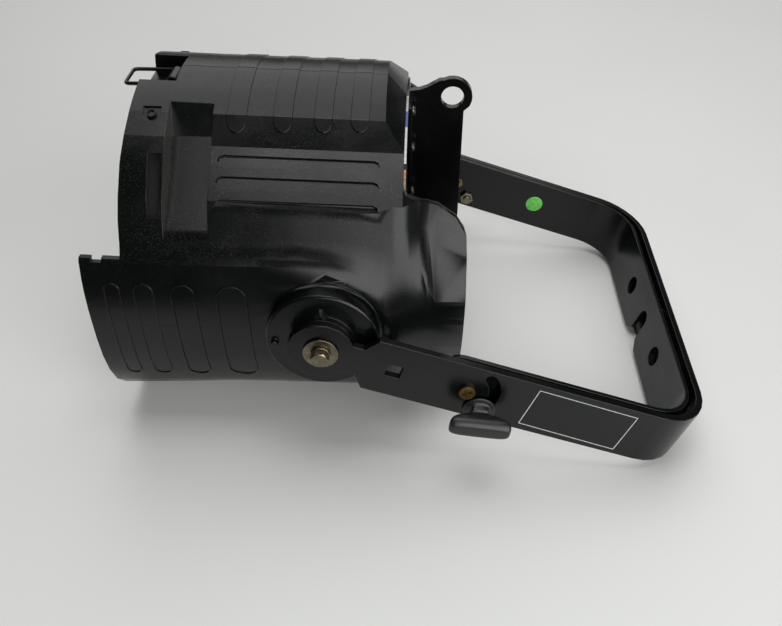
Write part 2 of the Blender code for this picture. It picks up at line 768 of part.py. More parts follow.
def make_shell(name, side, parent, material):
    """One half of the housing: an outer loft, hollowed, with its openings cut."""
    marks = stations()
    outer = bmesh.new()
    rings = []
    for x in marks:
        half = section(x)
        half = [(FIT / 2, half[0][1]), *half[1:-1], (FIT / 2, half[-1][1])]
        rings.append([(x, side * y, z) for y, z in half])
    add_loft(outer, rings)
    shell = add_object(name, outer, material, parent)

    pad = bmesh.new()
    face = sorted((side * (POD_HALF_WIDTH - WALL * 1.5), side * PAD_FACE))
    add_disc(pad, "Y", BOSS_RADIUS + WALL / 2, face[0], face[1], (0.0, PIVOT_Z), 32)
    join(shell, f"{name}_pad", pad, parent)

    void = bmesh.new()
    rings = []
    for x in marks:
        half = inset(section(x), WALL)
        half = [(-WALL, half[0][1]), *half[1:-1], (-WALL, half[-1][1])]
        rings.append([(x, side * y, z) for y, z in half])
    rings = [[(marks[0] - WALL, *point[1:]) for point in rings[0]], *rings]
    rings.append([(marks[-1] + WALL, *point[1:]) for point in rings[-1]])
    add_loft(void, rings)
    hollow = add_guide(f"{name}_hollow", void, parent)

    liner = bmesh.new()
    barrel_prism(liner, side, pocket_outline(WALL), COLLAR_BACK - WALL, POCKET_BACK + WALL)
    notch_box(liner, side, WALL)
    combine(hollow, add_guide(f"{name}_liner", liner, parent))
    combine(shell, hollow)

    cuts = bmesh.new()
    front_profile(cuts, side)
    rear_profile(cuts, side)
    barrel_prism(cuts, side, pocket_outline(0.0), COLLAR_BACK, POCKET_BACK)
    groove_cutters(cuts, side)
    vent_slot(cuts, side)
    screw_pocket(cuts, side)
    hole = sorted((side * (POD_HALF_WIDTH - WALL * 3), side * (PAD_FACE + WALL)))
    add_disc(cuts, "Y", PIVOT_BOLT_RADIUS + RUNNING, hole[0], hole[1], (0.0, PIVOT_Z), 16)
    combine(shell, add_guide(f"{name}_cuts", cuts, parent))

    notch = bmesh.new()
    notch_box(notch, side, 0.0)
    screw_hole(notch, side)
    combine(shell, add_guide(f"{name}_notch", notch, parent))
    return shell


def make_foot(parent, material):
    """The low foot moulded separately under the pod."""
    bm = bmesh.new()
    low = rounded_box(FOOT_LENGTH / 2 - FIT * 3, FOOT_WIDTH / 2 - FIT * 3, 0.005, (FOOT_CENTRE, 0.0))
    wide = rounded_box(FOOT_LENGTH / 2, FOOT_WIDTH / 2, 0.006, (FOOT_CENTRE, 0.0))
    top = FOOT_HEIGHT - FIT
    add_stack(bm, "Z", [(low, 0.0), (wide, top / 2), (wide, top)])
    add_object("bottom_foot", bm, material, parent)


def make_housing_screws(parent, material):
    """The screws in the collar's pockets."""
    for name, side in SIDES.items():
        bm = bmesh.new()
        head = circle(STUD_RADIUS, (0.0, 0.0), 12)
        seat = -SCREW_POCKET_DEPTH + FIT
        add_screw(bm, "Z", head, STUD_RADIUS * 0.45, seat, seat + WALL * 0.6, -WALL * 2, (0.0, 0.0))
        bmesh.ops.transform(bm, matrix=screw_frame(side), verts=bm.verts)
        add_object(f"housing_screw_{name}", bm, material, parent)


# Accessory guide and clip


def frame_outline(half, top):
    """A filter frame's outline with clipped lower corners, open upwards to a height."""
    floor = OPTIC_Z - half
    cut = FRAME_CORNER_CUT
    right = [(half, top), (half, floor + cut), (half - cut, floor)]
    return right + [(-y, z) for y, z in reversed(right)]


def guide_outline(x, top):
    """The inside of the cheeks at a station, open upwards to a height."""
    share = (x - CHEEK_FRONT) / (COLLAR_FRONT - CHEEK_FRONT)
    ends = [inset(section(end), WALL + FIT) for end in (CHEEK_FRONT, COLLAR_FRONT)]
    half = [Vector(low).lerp(high, share) for low, high in zip(*ends)]
    first = next(i for i, point in enumerate(half) if point[1] < top)
    above, below = half[first - 1], half[first]
    level = above.lerp(below, (above[1] - top) / (above[1] - below[1]))
    right = [(y, z) for y, z in (level, *half[first:])]
    return right + [(-y, z) for y, z in right[-2::-1]]


def make_accessory_guide(parent, material):
    """A U-shaped channel between the cheeks that holds a filter frame."""
    front = CHEEK_FRONT + GUIDE_LIP * 0.36
    back = COLLAR_FRONT - GUIDE_LIP * 0.4
    top = PIVOT_Z + GUIDE_RISE
    slot_half = FRAME_WIDTH / 2 + RUNNING * 2
    bm = bmesh.new()
    add_stack(bm, "X", [(guide_outline(x, top), x) for x in (front, back)])
    guide = add_object("accessory_guide", bm, material, parent)

    opening = bmesh.new()
    mouth = frame_outline(slot_half - GUIDE_OVERLAP, top + WALL)
    add_prism(opening, "X", mouth, front - WALL, back + WALL)
    combine(guide, add_guide("accessory_opening", opening, parent))

    slot = bmesh.new()
    slot_front = front + GUIDE_LIP
    add_prism(slot, "X", frame_outline(slot_half, top + WALL), slot_front, slot_front + FRAME_SLOT)
    combine(guide, add_guide("accessory_slot", slot, parent))


def clip_pivot():
    """The clip's hinge point."""
    return (
        COLLAR_FRONT + CLIP_PIVOT_SETBACK,
        0.0,
        BARREL_Z + BARREL_HALF_HEIGHT - NOTCH_DEPTH + CLIP_RISE,
    )


def make_clip(parent, steel, black):
    """A bent wire that keeps the filter frame in, and the small block that it turns in."""
    x, _, z = clip_pivot()
    radius = CLIP_WIRE_RADIUS
    bm = bmesh.new()
    bend = radius * 2
    wide = CLIP_HALF_WIDTH
    front = x - CLIP_REACH
    centres = [
        ((x - bend, -wide + bend), math.tau / 4 * 0, -math.tau / 4),
        ((front + bend, -wide + bend), -math.tau / 4, -math.tau / 4),
        ((front + bend, wide - bend), math.tau / 2, -math.tau / 4),
        ((x - bend, wide - bend), math.tau / 4, -math.tau / 4),
    ]
    inner = CLIP_MOUNT_HALF_WIDTH - radius * 2
    route = [(x, -inner)]
    for centre, start, sweep in centres:
        route += circle(bend, centre, 3, start, sweep)
    route.append((x, inner))
    rings = []
    for i, point in enumerate(route):
        before = Vector(route[max(0, i - 1)])
        after = Vector(route[min(len(route) - 1, i + 1)])
        across = (after - before).normalized().orthogonal()
        rings.append(
            [
                (point[0] + across[0] * a, point[1] + across[1] * a, z + b)
                for a, b in circle(radius, (0.0, 0.0), 6)
            ]
        )
    add_loft(bm, rings)
    add_object("clip_wire", bm, steel, parent, clip_pivot())

    mount = bmesh.new()
    floor = BARREL_Z + BARREL_HALF_HEIGHT - NOTCH_DEPTH + FIT
    half = CLIP_MOUNT_HALF_WIDTH
    long = COLLAR_BACK - x - RUNNING * 2
    outline = [(x - long, floor), (x + long, floor), (x + long, z)]
    outline += circle(radius * 3, (x, z), 8, 0.0, math.pi)
    outline.append((x - long, z))
    hole = circle(radius + RUNNING, (x, z), 12)
    add_prism(mount, "Y", outline, -half, half, [hole])
    add_object("clip_mount", mount, black, parent)


# Optics


def hex_places():
    """Centres of the emitters on a hexagonal pitch."""
    places = []
    for row in range(-EMITTER_RINGS, EMITTER_RINGS + 1):
        for column in range(-EMITTER_RINGS, EMITTER_RINGS + 1):
            if abs(row + column) <= EMITTER_RINGS:
                y = EMITTER_PITCH * (column + row / 2)
                z = EMITTER_PITCH * row * math.sqrt(3) / 2
                places.append((y, OPTIC_Z + z))
    return places


def make_optics(parent, finishes):
    """The front lens and everything behind it, up to the fan's front face."""
    axis = (0.0, OPTIC_Z)
    rim = LENS_HOLE_RADIUS + LENS_SEAT
    x = COLLAR_FRONT + LENS_RECESS

    bezel = bmesh.new()
    outline = whole_outline(x, WALL + FIT)
    add_prism(bezel, "X", outline, x, x + BEZEL_THICKNESS, [circle(LENS_HOLE_RADIUS, axis, 36)])
    plate = add_object("lens_bezel", bezel, finishes["black"], parent)
    sleeve = bmesh.new()
    sleeve_inner = rim + FIT
    sleeve_back = x + BEZEL_THICKNESS + LENS_THICKNESS + GASKET_THICKNESS + FIT * 3
    add_ring(sleeve, "X", sleeve_inner, sleeve_inner + WALL, x + BEZEL_THICKNESS / 2, sleeve_back, axis, 36)
    join(plate, "bezel_sleeve", sleeve, parent)
    for name, side in SIDES.items():
        relief = bmesh.new()
        notch_box(relief, side, WALL + FIT)
        combine(plate, add_guide(f"bezel_relief_{name}", relief, parent))

    x += BEZEL_THICKNESS + FIT
    lens = bmesh.new()
    dome = LENS_HOLE_RADIUS * 0.96
    profile = [(0.0, x - BEZEL_THICKNESS * 0.9), (dome * 0.5, x - BEZEL_THICKNESS * 0.7), (dome, x)]
    profile += [(rim, x), (rim, x + LENS_THICKNESS), (0.0, x + LENS_THICKNESS)]
    add_turned(lens, "X", profile, axis, 36)
    add_object("front_lens", lens, finishes["lens"], parent)

    x += LENS_THICKNESS + FIT
    gasket = bmesh.new()
    add_ring(gasket, "X", LENS_HOLE_RADIUS, rim, x, x + GASKET_THICKNESS, axis, 36)
    add_object("lens_gasket", gasket, finishes["rubber"], parent)

    x += GASKET_THICKNESS + FIT
    array = bmesh.new()
    add_disc(array, "X", rim, x, x + HOLDER_THICKNESS, axis, 36)
    holder = add_object("optic_array", array, finishes["lens"], parent)
    x += HOLDER_THICKNESS
    cones = bmesh.new()
    for place in hex_places():
        wide = circle(COLLIMATOR_RADIUS, place, 6)
        narrow = circle(COLLIMATOR_RADIUS * 0.4, place, 6)
        add_stack(cones, "X", [(wide, x - HOLDER_THICKNESS / 2), (narrow, x + COLLIMATOR_LENGTH)])
    join(holder, "collimators", cones, parent)

    x += COLLIMATOR_LENGTH + FIT + EMITTER_THICKNESS
    board = bmesh.new()
    add_disc(board, "X", rim - FIT, x, x + LED_BOARD_THICKNESS, axis, 32)
    plate = add_object("led_board", board, finishes["white_board"], parent)
    emitters = bmesh.new()
    half = EMITTER_SIZE / 2
    for y, z in hex_places():
        low = (x - EMITTER_THICKNESS, y - half, z - half)
        add_box(emitters, low, (x + LED_BOARD_THICKNESS / 2, y + half, z + half))
    join(plate, "led_emitters", emitters, parent)

    x += LED_BOARD_THICKNESS + FIT
    sink = bmesh.new()
    size = SINK_HALF_SIZE
    pitch = (2 * size - FIN_THICKNESS) / (FIN_COUNT - 1)
    comb = [(x, size), (x, -size)]
    for i in range(FIN_COUNT):
        low = -size + i * pitch
        tip = x + SINK_BASE + FIN_LENGTH
        comb += [(tip, low), (tip, low + FIN_THICKNESS)]
        if i < FIN_COUNT - 1:
            comb += [(x + SINK_BASE, low + FIN_THICKNESS), (x + SINK_BASE, low + pitch)]
    add_prism(sink, "Z", comb, OPTIC_Z - size, OPTIC_Z + size)
    add_object("heat_sink", sink, finishes["aluminium"], parent)
    return x + SINK_BASE + FIN_LENGTH + FIT


# Fan, chassis and driver


def make_fan(parent, front, finishes):
    """A square axial fan behind the heat sink."""
    axis = (0.0, OPTIC_Z)
    half = FAN_SIZE / 2
    pitch = FAN_SCREW_PITCH / 2
    corners = [(y * pitch, OPTIC_Z + z * pitch) for y in (-1, 1) for z in (-1, 1)]
    strut = FAN_THICKNESS * 0.12
    back = front + FAN_THICKNESS
    frame = bmesh.new()
    holes = [circle(FAN_BORE, axis, 28)]
    holes += [circle(STUD_RADIUS * 0.75, corner, 8) for corner in corners]
    add_prism(frame, "X", rounded_box(half, half, 0.006, axis), front, back, holes)
    body = add_object("fan_frame", frame, finishes["plastic"], parent)
    spider = bmesh.new()
    arm = strut * 0.8
    reach = FAN_BORE + WALL / 3
    hub = ROTOR_HUB_RADIUS
    inner = math.sqrt(hub**2 - arm**2)
    outline = []
    for i in range(4):
        turn = i * math.tau / 4
        for along, across in ((inner, -arm), (reach, -arm), (reach, arm), (inner, arm)):
            outline.append(
                (
                    along * math.cos(turn) - across * math.sin(turn),
                    OPTIC_Z + along * math.sin(turn) + across * math.cos(turn),
                )
            )
        edge = math.asin(arm / hub)
        outline += circle(hub, axis, 5, turn + edge, math.tau / 4 - 2 * edge)[1:-1]
    add_prism(spider, "X", outline, back - strut, back - strut * 0.1)
    join(body, "fan_spider", spider, parent)

    rotor = bmesh.new()
    rotor_front = front + strut * 0.5
    rotor_back = back - strut - FIT
    tip = FAN_BORE - RUNNING * 3
    step = math.tau / FAN_BLADES
    rings = []
    for level in range(4):
        share = level / 3
        twist = share * step * 0.45
        ring = []
        for i in range(FAN_BLADES):
            start = i * step + twist
            ring += circle(hub, axis, 2, start, step * 0.55)
            ring += circle(tip, axis, 2, start + step * 0.72, step * 0.16)
        rings.append([(blend(rotor_front, rotor_back, share), y, z) for y, z in ring])
    add_loft(rotor, rings)
    add_object("fan_rotor", rotor, finishes["plastic"], parent, (rotor_front, 0.0, OPTIC_Z))
    return back + FIT


def make_chassis(parent, front, finishes):
    """The bulkhead that carries the fan, the driver tray and the pivot bolts."""
    back = front + CHASSIS_THICKNESS
    bm = bmesh.new()
    pitch = FAN_SCREW_PITCH / 2
    corners = [(y * pitch, OPTIC_Z + z * pitch) for y in (-1, 1) for z in (-1, 1)]
    holes = [circle(FAN_BORE, (0.0, OPTIC_Z), 28)]
    holes += [circle(STUD_RADIUS * 0.75, corner, 8) for corner in corners]
    add_prism(bm, "X", whole_outline(front, WALL + FIT), front, back, holes)
    chassis = add_object("chassis", bm, finishes["zinc"], parent)
    outer = POD_HALF_WIDTH - WALL - CHASSIS_ARM_GAP
    inner = outer - CHASSIS_THICKNESS
    half = CHASSIS_ARM_HEIGHT / 2
    outline = [(back - CHASSIS_THICKNESS / 2, PIVOT_Z - half), (CHASSIS_ARM_REACH, PIVOT_Z - half * 0.7)]
    outline += [(CHASSIS_ARM_REACH, PIVOT_Z + half * 0.7), (back - CHASSIS_THICKNESS / 2, PIVOT_Z + half)]
    hole = circle(PIVOT_BOLT_RADIUS + RUNNING, (0.0, PIVOT_Z), 16)
    for name, side in SIDES.items():
        arm = bmesh.new()
        low, high = sorted((side * inner, side * outer))
        add_prism(arm, "Y", outline, low, high, [hole])
        join(chassis, f"chassis_arm_{name}", arm, parent)
    return back + FIT, inner


def make_driver(parent, front, finishes):
    """The LED driver on its tray, between the bulkhead and the rear panel."""
    tray_top = PIVOT_Z - TRAY_DROP
    wide = TRAY_HALF_WIDTH
    end = PANEL_BACK - PANEL_THICKNESS - FIT
    margin = STANDOFF_RADIUS * 2
    board_front = front + margin
    board_end = end - SOCKET_DEPTH - margin
    tray = bmesh.new()
    add_box(tray, (front, -wide, tray_top - TRAY_THICKNESS), (end, wide, tray_top))
    tray_piece = add_object("driver_tray", tray, finishes["zinc"], parent)
    posts = bmesh.new()
    for x in (board_front + margin, board_end - margin):
        for y in (-wide + margin * 2, wide - margin * 2):
            foot = tray_top - TRAY_THICKNESS / 2
            add_disc(posts, "Z", STANDOFF_RADIUS, foot, tray_top + STANDOFF_HEIGHT, (x, y), 12)
    join(tray_piece, "board_standoffs", posts, parent)

    board_bottom = tray_top + STANDOFF_HEIGHT + FIT
    board_top = board_bottom + DRIVER_BOARD_THICKNESS
    board = bmesh.new()
    add_box(board, (board_front, -wide + margin, board_bottom), (board_end, wide - margin, board_top))
    board_piece = add_object("driver_board", board, finishes["green_board"], parent)

    length = board_end - board_front
    rest = board_top - DRIVER_BOARD_THICKNESS / 2
    middle = board_front + length / 2
    core = length * 0.38
    blocks = bmesh.new()
    add_box(blocks, (middle - core, -wide * 0.306, rest), (middle + core, wide * 0.25, rest + COMPONENT_HEIGHT))
    for i in range(3):
        place = (middle, wide * (0.444 + i * 0.153))
        add_disc(blocks, "Z", wide * 0.069, rest, rest + COMPONENT_HEIGHT * 0.83, place, 14)
    for i in range(2):
        low = (middle - core * 0.8, -wide * (0.569 + i * 0.222), rest)
        high = (middle + core * 0.8, -wide * (0.431 + i * 0.222), rest + COMPONENT_HEIGHT * 0.58)
        add_box(blocks, low, high)
    join(board_piece, "driver_components", blocks, parent)


# Rear panel


def button_places():
    """Centres of the four buttons under the display."""
    row = PIVOT_Z + DISPLAY_CENTRE[1] - BUTTON_DROP
    start = DISPLAY_CENTRE[0] - BUTTON_PITCH * 1.5
    names = ("button_menu", "button_up", "button_down", "button_enter")
    return {name: (start + i * BUTTON_PITCH, row) for i, name in enumerate(names)}


def make_rear_panel(parent, finishes):
    """The panel that closes the barrel, with its display, buttons and sockets."""
    back = PANEL_BACK
    front = back - PANEL_THICKNESS
    window = (DISPLAY_CENTRE[0], PIVOT_Z + DISPLAY_CENTRE[1])
    half = (DISPLAY_SIZE[0] / 2, DISPLAY_SIZE[1] / 2)
    sockets = {
        name: (side * SOCKET_SIDE, PIVOT_Z + rise) for name, (side, rise) in SOCKET_HEIGHTS.items()
    }
    holes = [rounded_box(half[0] + FIT, half[1] + FIT, 0.002, window, 2)]
    holes += [circle(BUTTON_RADIUS + RUNNING, place, 14) for place in button_places().values()]
    holes += [circle(SOCKET_RADIUS + RUNNING, place, 16) for place in sockets.values()]
    panel = bmesh.new()
    add_prism(panel, "X", whole_outline(back, WALL + FIT), front, back, holes)
    add_object("rear_panel", panel, finishes["panel"], parent)

    glass = bmesh.new()
    outline = rounded_box(half[0], half[1], 0.002, window, 2)
    add_stack(glass, "X", [(outline, front), (outline, back + FIT)])
    add_object("display_window", glass, finishes["window"], parent)

    board = bmesh.new()
    row = PIVOT_Z + DISPLAY_CENTRE[1] - BUTTON_DROP
    margin = BUTTON_RADIUS * 2
    low = (front - FIT - DRIVER_BOARD_THICKNESS, window[0] - half[0] - margin, row - margin)
    add_box(board, low, (front - FIT, window[0] + half[0] + margin, window[1] + half[1] + margin / 2))
    add_object("control_board", board, finishes["green_board"], parent)

    for name, place in button_places().items():
        button = bmesh.new()
        base = front + BUTTON_TRAVEL + FIT
        tip = back + BUTTON_PROUD
        round_off = BUTTON_RADIUS * 0.2
        layers = [
            (circle(BUTTON_RADIUS, place, 14), base),
            (circle(BUTTON_RADIUS, place, 14), tip - round_off),
            (circle(BUTTON_RADIUS - round_off, place, 14), tip),
        ]
        add_stack(button, "X", layers)
        add_object(name, button, finishes["plastic"], parent, (base, *place))

    for name, place in sockets.items():
        socket = bmesh.new()
        mouth = back + FIT + FLANGE_THICKNESS
        floor = back - SOCKET_DEPTH + WALL
        profile = [(0.0, floor), (SOCKET_BORE, floor), (SOCKET_BORE, mouth), (SOCKET_FLANGE, mouth)]
        profile += [(SOCKET_FLANGE, back + FIT), (SOCKET_RADIUS, back + FIT)]
        profile += [(SOCKET_RADIUS, back - SOCKET_DEPTH), (0.0, back - SOCKET_DEPTH)]
        add_turned(socket, "X", profile, place, 16)
        add_object(name, socket, finishes["plastic"], parent)


def make_rear_bracket(parent, finishes):
    """The upright plate with the hanging eye, on a flange screwed to the rear panel."""
    front = PANEL_BACK + FIT
    half = BRACKET_THICKNESS / 2
    eye_x, eye_z = EYE_CENTRE
    outline = [(front, BRACKET_SHOULDER), (front, BRACKET_BOTTOM), (BRACKET_BACK, BRACKET_BOTTOM)]
    outline += [(BRACKET_BACK, eye_z - EYE_RADIUS * 0.74)]
    outline += circle(EYE_RADIUS, EYE_CENTRE, 10, math.radians(-28), math.radians(145))
    outline += [(eye_x - EYE_RADIUS * across, eye_z + EYE_RADIUS * up) for across, up in BRACKET_SWEEP]
    bm = bmesh.new()
    add_prism(bm, "Y", outline, -half, half, [circle(EYE_HOLE_RADIUS, EYE_CENTRE, 20)])
    bracket = add_object("rear_bracket", bm, finishes["black"], parent)
    flange = bmesh.new()
    wide = FLANGE_WIDTH / 2
    edge = [(-wide, BRACKET_BOTTOM), (wide, BRACKET_BOTTOM), (wide, FLANGE_TOP), (-wide, FLANGE_TOP)]
    add_prism(flange, "X", edge, front, front + FLANGE_THICKNESS)
    join(bracket, "bracket_flange", flange, parent)

    seat = front + FLANGE_THICKNESS + FIT
    for number, height in enumerate(FLANGE_SCREW_HEIGHTS):
        screw = bmesh.new()
        place = (-FLANGE_SCREW_SIDE, height)
        head = circle(FLANGE_SCREW_RADIUS, place, 12)
        crown = circle(FLANGE_SCREW_RADIUS * 0.6, place, 12)
        layers = [(head, seat), (head, seat + FLANGE_THICKNESS / 2), (crown, seat + FLANGE_THICKNESS)]
        add_stack(screw, "X", layers)
        add_object(f"bracket_screw_{number + 1}", screw, finishes["zinc"], parent)


# Tilt pivots


def make_pivots(parent, chassis_inner, finishes):
    """The boss discs, bolts, washers and nuts on both sides."""
    centre = (0.0, PIVOT_Z)
    hole = PIVOT_BOLT_RADIUS + RUNNING
    washer_seat = YOKE_OUTER + FIT
    spring_seat = washer_seat + WASHER_THICKNESS + FIT
    head_seat = spring_seat + SPRING_WASHER_THICKNESS + FIT
    nut_seat = chassis_inner - FIT
    for name, side in SIDES.items():
        disc = bmesh.new()
        edge = BOSS_THICKNESS * 0.12
        profile = [
            (hole, PAD_FACE + FIT),
            (BOSS_RADIUS, PAD_FACE + FIT),
            (BOSS_RADIUS, BOSS_FACE - edge),
            (BOSS_RADIUS - edge, BOSS_FACE),
            (HUB_RADIUS, BOSS_FACE),
            (HUB_RADIUS, HUB_FACE),
            (hole, HUB_FACE),
        ]
        add_turned(disc, "Y", [(radius, side * y) for radius, y in profile], centre, 36)
        boss = add_object(f"tilt_boss_{name}", disc, finishes["black"], parent)
        pin = bmesh.new()
        place = (BOSS_PIN_PLACE[0], PIVOT_Z + BOSS_PIN_PLACE[1])
        add_disc(
            pin, "Y", BOSS_PIN_RADIUS, side * (BOSS_FACE - edge), side * (BOSS_FACE + BOSS_PIN_HEIGHT), place, 12
        )
        join(boss, f"boss_pin_{name}", pin, parent)

        washer = bmesh.new()
        ends = (side * washer_seat, side * (washer_seat + WASHER_THICKNESS))
        add_ring(washer, "Y", hole, WASHER_RADIUS, *ends, centre, 20)
        add_object(f"pivot_washer_{name}", washer, finishes["zinc"], parent)
        spring = bmesh.new()
        ends = (side * spring_seat, side * (spring_seat + SPRING_WASHER_THICKNESS))
        add_ring(spring, "Y", hole, SPRING_WASHER_RADIUS, *ends, centre, 16)
        add_object(f"pivot_spring_washer_{name}", spring, finishes["zinc"], parent)

        bolt = bmesh.new()
        head = hexagon(BOLT_HEAD_APOTHEM, centre)
        top = side * (head_seat + BOLT_HEAD_HEIGHT)
        tip = side * (nut_seat - NUT_HEIGHT - WALL / 2)
        add_screw(bolt, "Y", head, PIVOT_BOLT_RADIUS, side * head_seat, top, tip, centre)
        add_object(f"pivot_bolt_{name}", bolt, finishes["zinc"], parent)
        add_nut(f"pivot_nut_{name}", side, BOLT_HEAD_APOTHEM, PIVOT_BOLT_RADIUS, nut_seat, NUT_HEIGHT, centre,
                finishes["zinc"], parent)


def add_nut(name, side, apothem, thread, seat, height, centre, material, parent):
    """A hexagon nut whose outer face sits at a distance from the middle plane."""
    bm = bmesh.new()
    low, high = sorted((side * (seat - height), side * seat))
    add_prism(bm, "Y", hexagon(apothem, centre), low, high, [circle(thread + FIT, centre, 12)])
    add_object(name, bm, material, parent)


# Folded straps


def fold_strap(bm, length, half_span, corner, thickness, end, arm_holes, bar_holes, bar_notch=()):
    """Cut a flat blank with its holes and fold both arms.

    Places on the arms are (u, v): u from the tilt pivot towards the crossbar and v upwards. Places on
    the crossbar are (y, v). The end runs from the lower edge round to the upper edge.
    """
    flat = half_span - corner
    neutral = corner - thickness / 2
    arc = neutral * math.tau / 4
    tangent = length - corner

    def unfold(u):
        return flat + arc + tangent - u

    outline = [(unfold(u), v) for u, v in end]
    outline += [(-unfold(u), v) for u, v in reversed(end)]
    outline += bar_notch
    loops = [outline]
    for hole in arm_holes:
        loops += [[(sign * unfold(u), v) for u, v in hole] for sign in (-1, 1)]
    loops += bar_holes
    edges = []
    for loop in loops:
        verts = [bm.verts.new((s, 0.0, v)) for s, v in loop]
        edges += [bm.edges.new((verts[i - 1], verts[i])) for i in range(len(verts))]
    bmesh.ops.triangle_fill(bm, use_beauty=True, edges=edges)
    folds = 7
    for i in range(folds + 1):
        for sign in (-1, 1):
            bmesh.ops.bisect_plane(
                bm,
                geom=bm.verts[:] + bm.edges[:] + bm.faces[:],
                dist=1e-6,
                plane_co=(sign * (flat + arc * i / folds), 0.0, 0.0),
                plane_no=(1.0, 0.0, 0.0),
            )
    raised = bmesh.ops.extrude_face_region(bm, geom=bm.faces[:])
    verts = [item for item in raised["geom"] if isinstance(item, bmesh.types.BMVert)]
    bmesh.ops.translate(bm, verts=verts, vec=(0.0, thickness, 0.0))
    for vert in bm.verts:
        s, depth, v = vert.co
        sign = 1 if s > 0 else -1
        along = abs(s)
        if along <= flat:
            vert.co = (length - depth, s, v)
        elif along <= flat + arc:
            angle = (along - flat) / neutral
            radius = corner - depth
            u = tangent + radius * math.cos(angle)
            vert.co = (u, sign * (flat + radius * math.sin(angle)), v)
        else:
            vert.co = (tangent - (along - flat - arc), sign * (half_span - depth), v)


def stud_place(angle=STUD_ANGLE):
    """Where a knob's stud stands, at an angle round the stand pivot."""
    return (STAND_PIVOT + STUD_SWING * math.cos(angle), STUD_SWING * math.sin(angle))


def make_yoke(parent, finishes):
    """The main yoke, with the arc slots that the knobs' studs move in."""
    half = STRAP_WIDTH / 2
    neck = math.asin(NECK_HALF_WIDTH / YOKE_END_RADIUS)
    tip = circle(YOKE_END_RADIUS, (0.0, 0.0), 14, -neck, -(math.tau - 2 * neck))
    end = [(YOKE_SHOULDER, -half), (NECK_START, -NECK_HALF_WIDTH)]
    end += tip
    end += [(NECK_START, NECK_HALF_WIDTH), (YOKE_SHOULDER, half)]
    square = SQUARE_HOLE / 2
    window = [
        (SQUARE_HOLE_PLACE + a * square, b * square) for a, b in ((1, 1), (-1, 1), (-1, -1), (1, -1))
    ]
    slot_half = STUD_RADIUS + RUNNING
    pivot = (STAND_PIVOT, 0.0)
    spread = SLOT_END_ANGLE - STUD_ANGLE
    slot = circle(STUD_SWING + slot_half, pivot, 10, STUD_ANGLE, spread)
    slot += circle(slot_half, stud_place(SLOT_END_ANGLE), 5, SLOT_END_ANGLE, math.pi)[1:-1]
    slot += circle(STUD_SWING - slot_half, pivot, 10, SLOT_END_ANGLE, -spread)
    slot += circle(slot_half, stud_place(), 5, STUD_ANGLE + math.pi, math.pi)[1:-1]
    holes = [
        circle(PIVOT_BOLT_RADIUS + RUNNING, (0.0, 0.0), 16),
        window,
        circle(STAND_SCREW_RADIUS + RUNNING, pivot, 12),
        slot,
    ]
    bar_holes = [circle(CLAMP_HOLE_RADIUS, (0.0, 0.0), 20)]
    bar_holes += [circle(SIDE_HOLE_RADIUS, (side * BAR_HOLE_SIDE, 0.0), 16) for side in SIDES.values()]
    bm = bmesh.new()
    fold_strap(bm, YOKE_LENGTH, YOKE_OUTER, YOKE_CORNER, YOKE_THICKNESS, end, holes, bar_holes)
    add_object("yoke", bm, finishes["black"], parent)


def make_stand_yoke(parent, pivot, finishes):
    """The inner yoke that folds out as a floor stand."""
    half = STRAP_WIDTH / 2
    corner = STAND_END_CORNER
    start = STAND_PIVOT - STAND_END_MARGIN
    end = [(STAND_PIVOT + STAND_END_MARGIN, -half)]
    end += circle(corner, (start + corner, -half + corner), 5, -math.tau / 4, -math.tau / 4)
    end += circle(corner, (start + corner, half - corner), 5, math.tau / 2, -math.tau / 4)
    end += [(STAND_PIVOT + STAND_END_MARGIN, half)]
    holes = [
        circle(STAND_SCREW_RADIUS + RUNNING, (STAND_PIVOT, 0.0), 12),
        circle(STUD_RADIUS + RUNNING, stud_place(), 12),
    ]
    bar_holes = [circle(STAND_HOLE_RADIUS, (side * BAR_HOLE_SIDE, 0.0), 20) for side in SIDES.values()]
    throat = CRADLE_TOP - CRADLE_HALF_WIDTH
    cradle = [(-CRADLE_MOUTH, -half), (-CRADLE_HALF_WIDTH, -half * 0.72)]
    cradle += circle(CRADLE_HALF_WIDTH, (0.0, throat), 8, math.tau / 2, -math.tau / 2)
    cradle += [(CRADLE_HALF_WIDTH, -half * 0.72), (CRADLE_MOUTH, -half)]
    bm = bmesh.new()
    fold_strap(
        bm, STAND_LENGTH, STAND_OUTER, STAND_CORNER, STAND_THICKNESS, end, holes, bar_holes, cradle
    )
    return add_object("stand_yoke", bm, finishes["black"], parent, pivot)


def make_stand_hardware(parent, finishes):
    """The stand's pivot screws, nuts and spacers, and the bumper between the crossbars."""
    centre = (STAND_PIVOT, 0.0)
    thread = STAND_SCREW_RADIUS
    seat = YOKE_OUTER + FIT
    for name, side in SIDES.items():
        screw = bmesh.new()
        head = circle(STAND_SCREW_HEAD, centre, 12)
        top = side * (seat + STAND_SCREW_HEAD * 0.4)
        tip = side * (STAND_INNER - THIN_NUT_HEIGHT - thread * 0.5)
        add_screw(screw, "Y", head, thread, side * seat, top, tip, centre)
        add_object(f"stand_pivot_screw_{name}", screw, finishes["brass"], parent)
        add_nut(f"stand_pivot_nut_{name}", side, STAND_NUT_APOTHEM, thread, STAND_INNER - FIT, THIN_NUT_HEIGHT,
                centre, finishes["zinc"], parent)
        spacer = bmesh.new()
        low, high = sorted((side * (STAND_OUTER + FIT), side * (YOKE_INNER - FIT)))
        add_ring(spacer, "Y", thread + RUNNING, thread * 2.8, low, high, centre, 16)
        add_object(f"stand_spacer_{name}", spacer, finishes["plastic"], parent)

    bumper = bmesh.new()
    low = STAND_LENGTH + FIT
    high = YOKE_LENGTH - YOKE_THICKNESS - FIT
    add_disc(bumper, "X", BUMPER_RADIUS, low, high, (BUMPER_SIDE, BUMPER_RISE), 14)
    add_object("yoke_bumper", bumper, finishes["rubber"], parent)


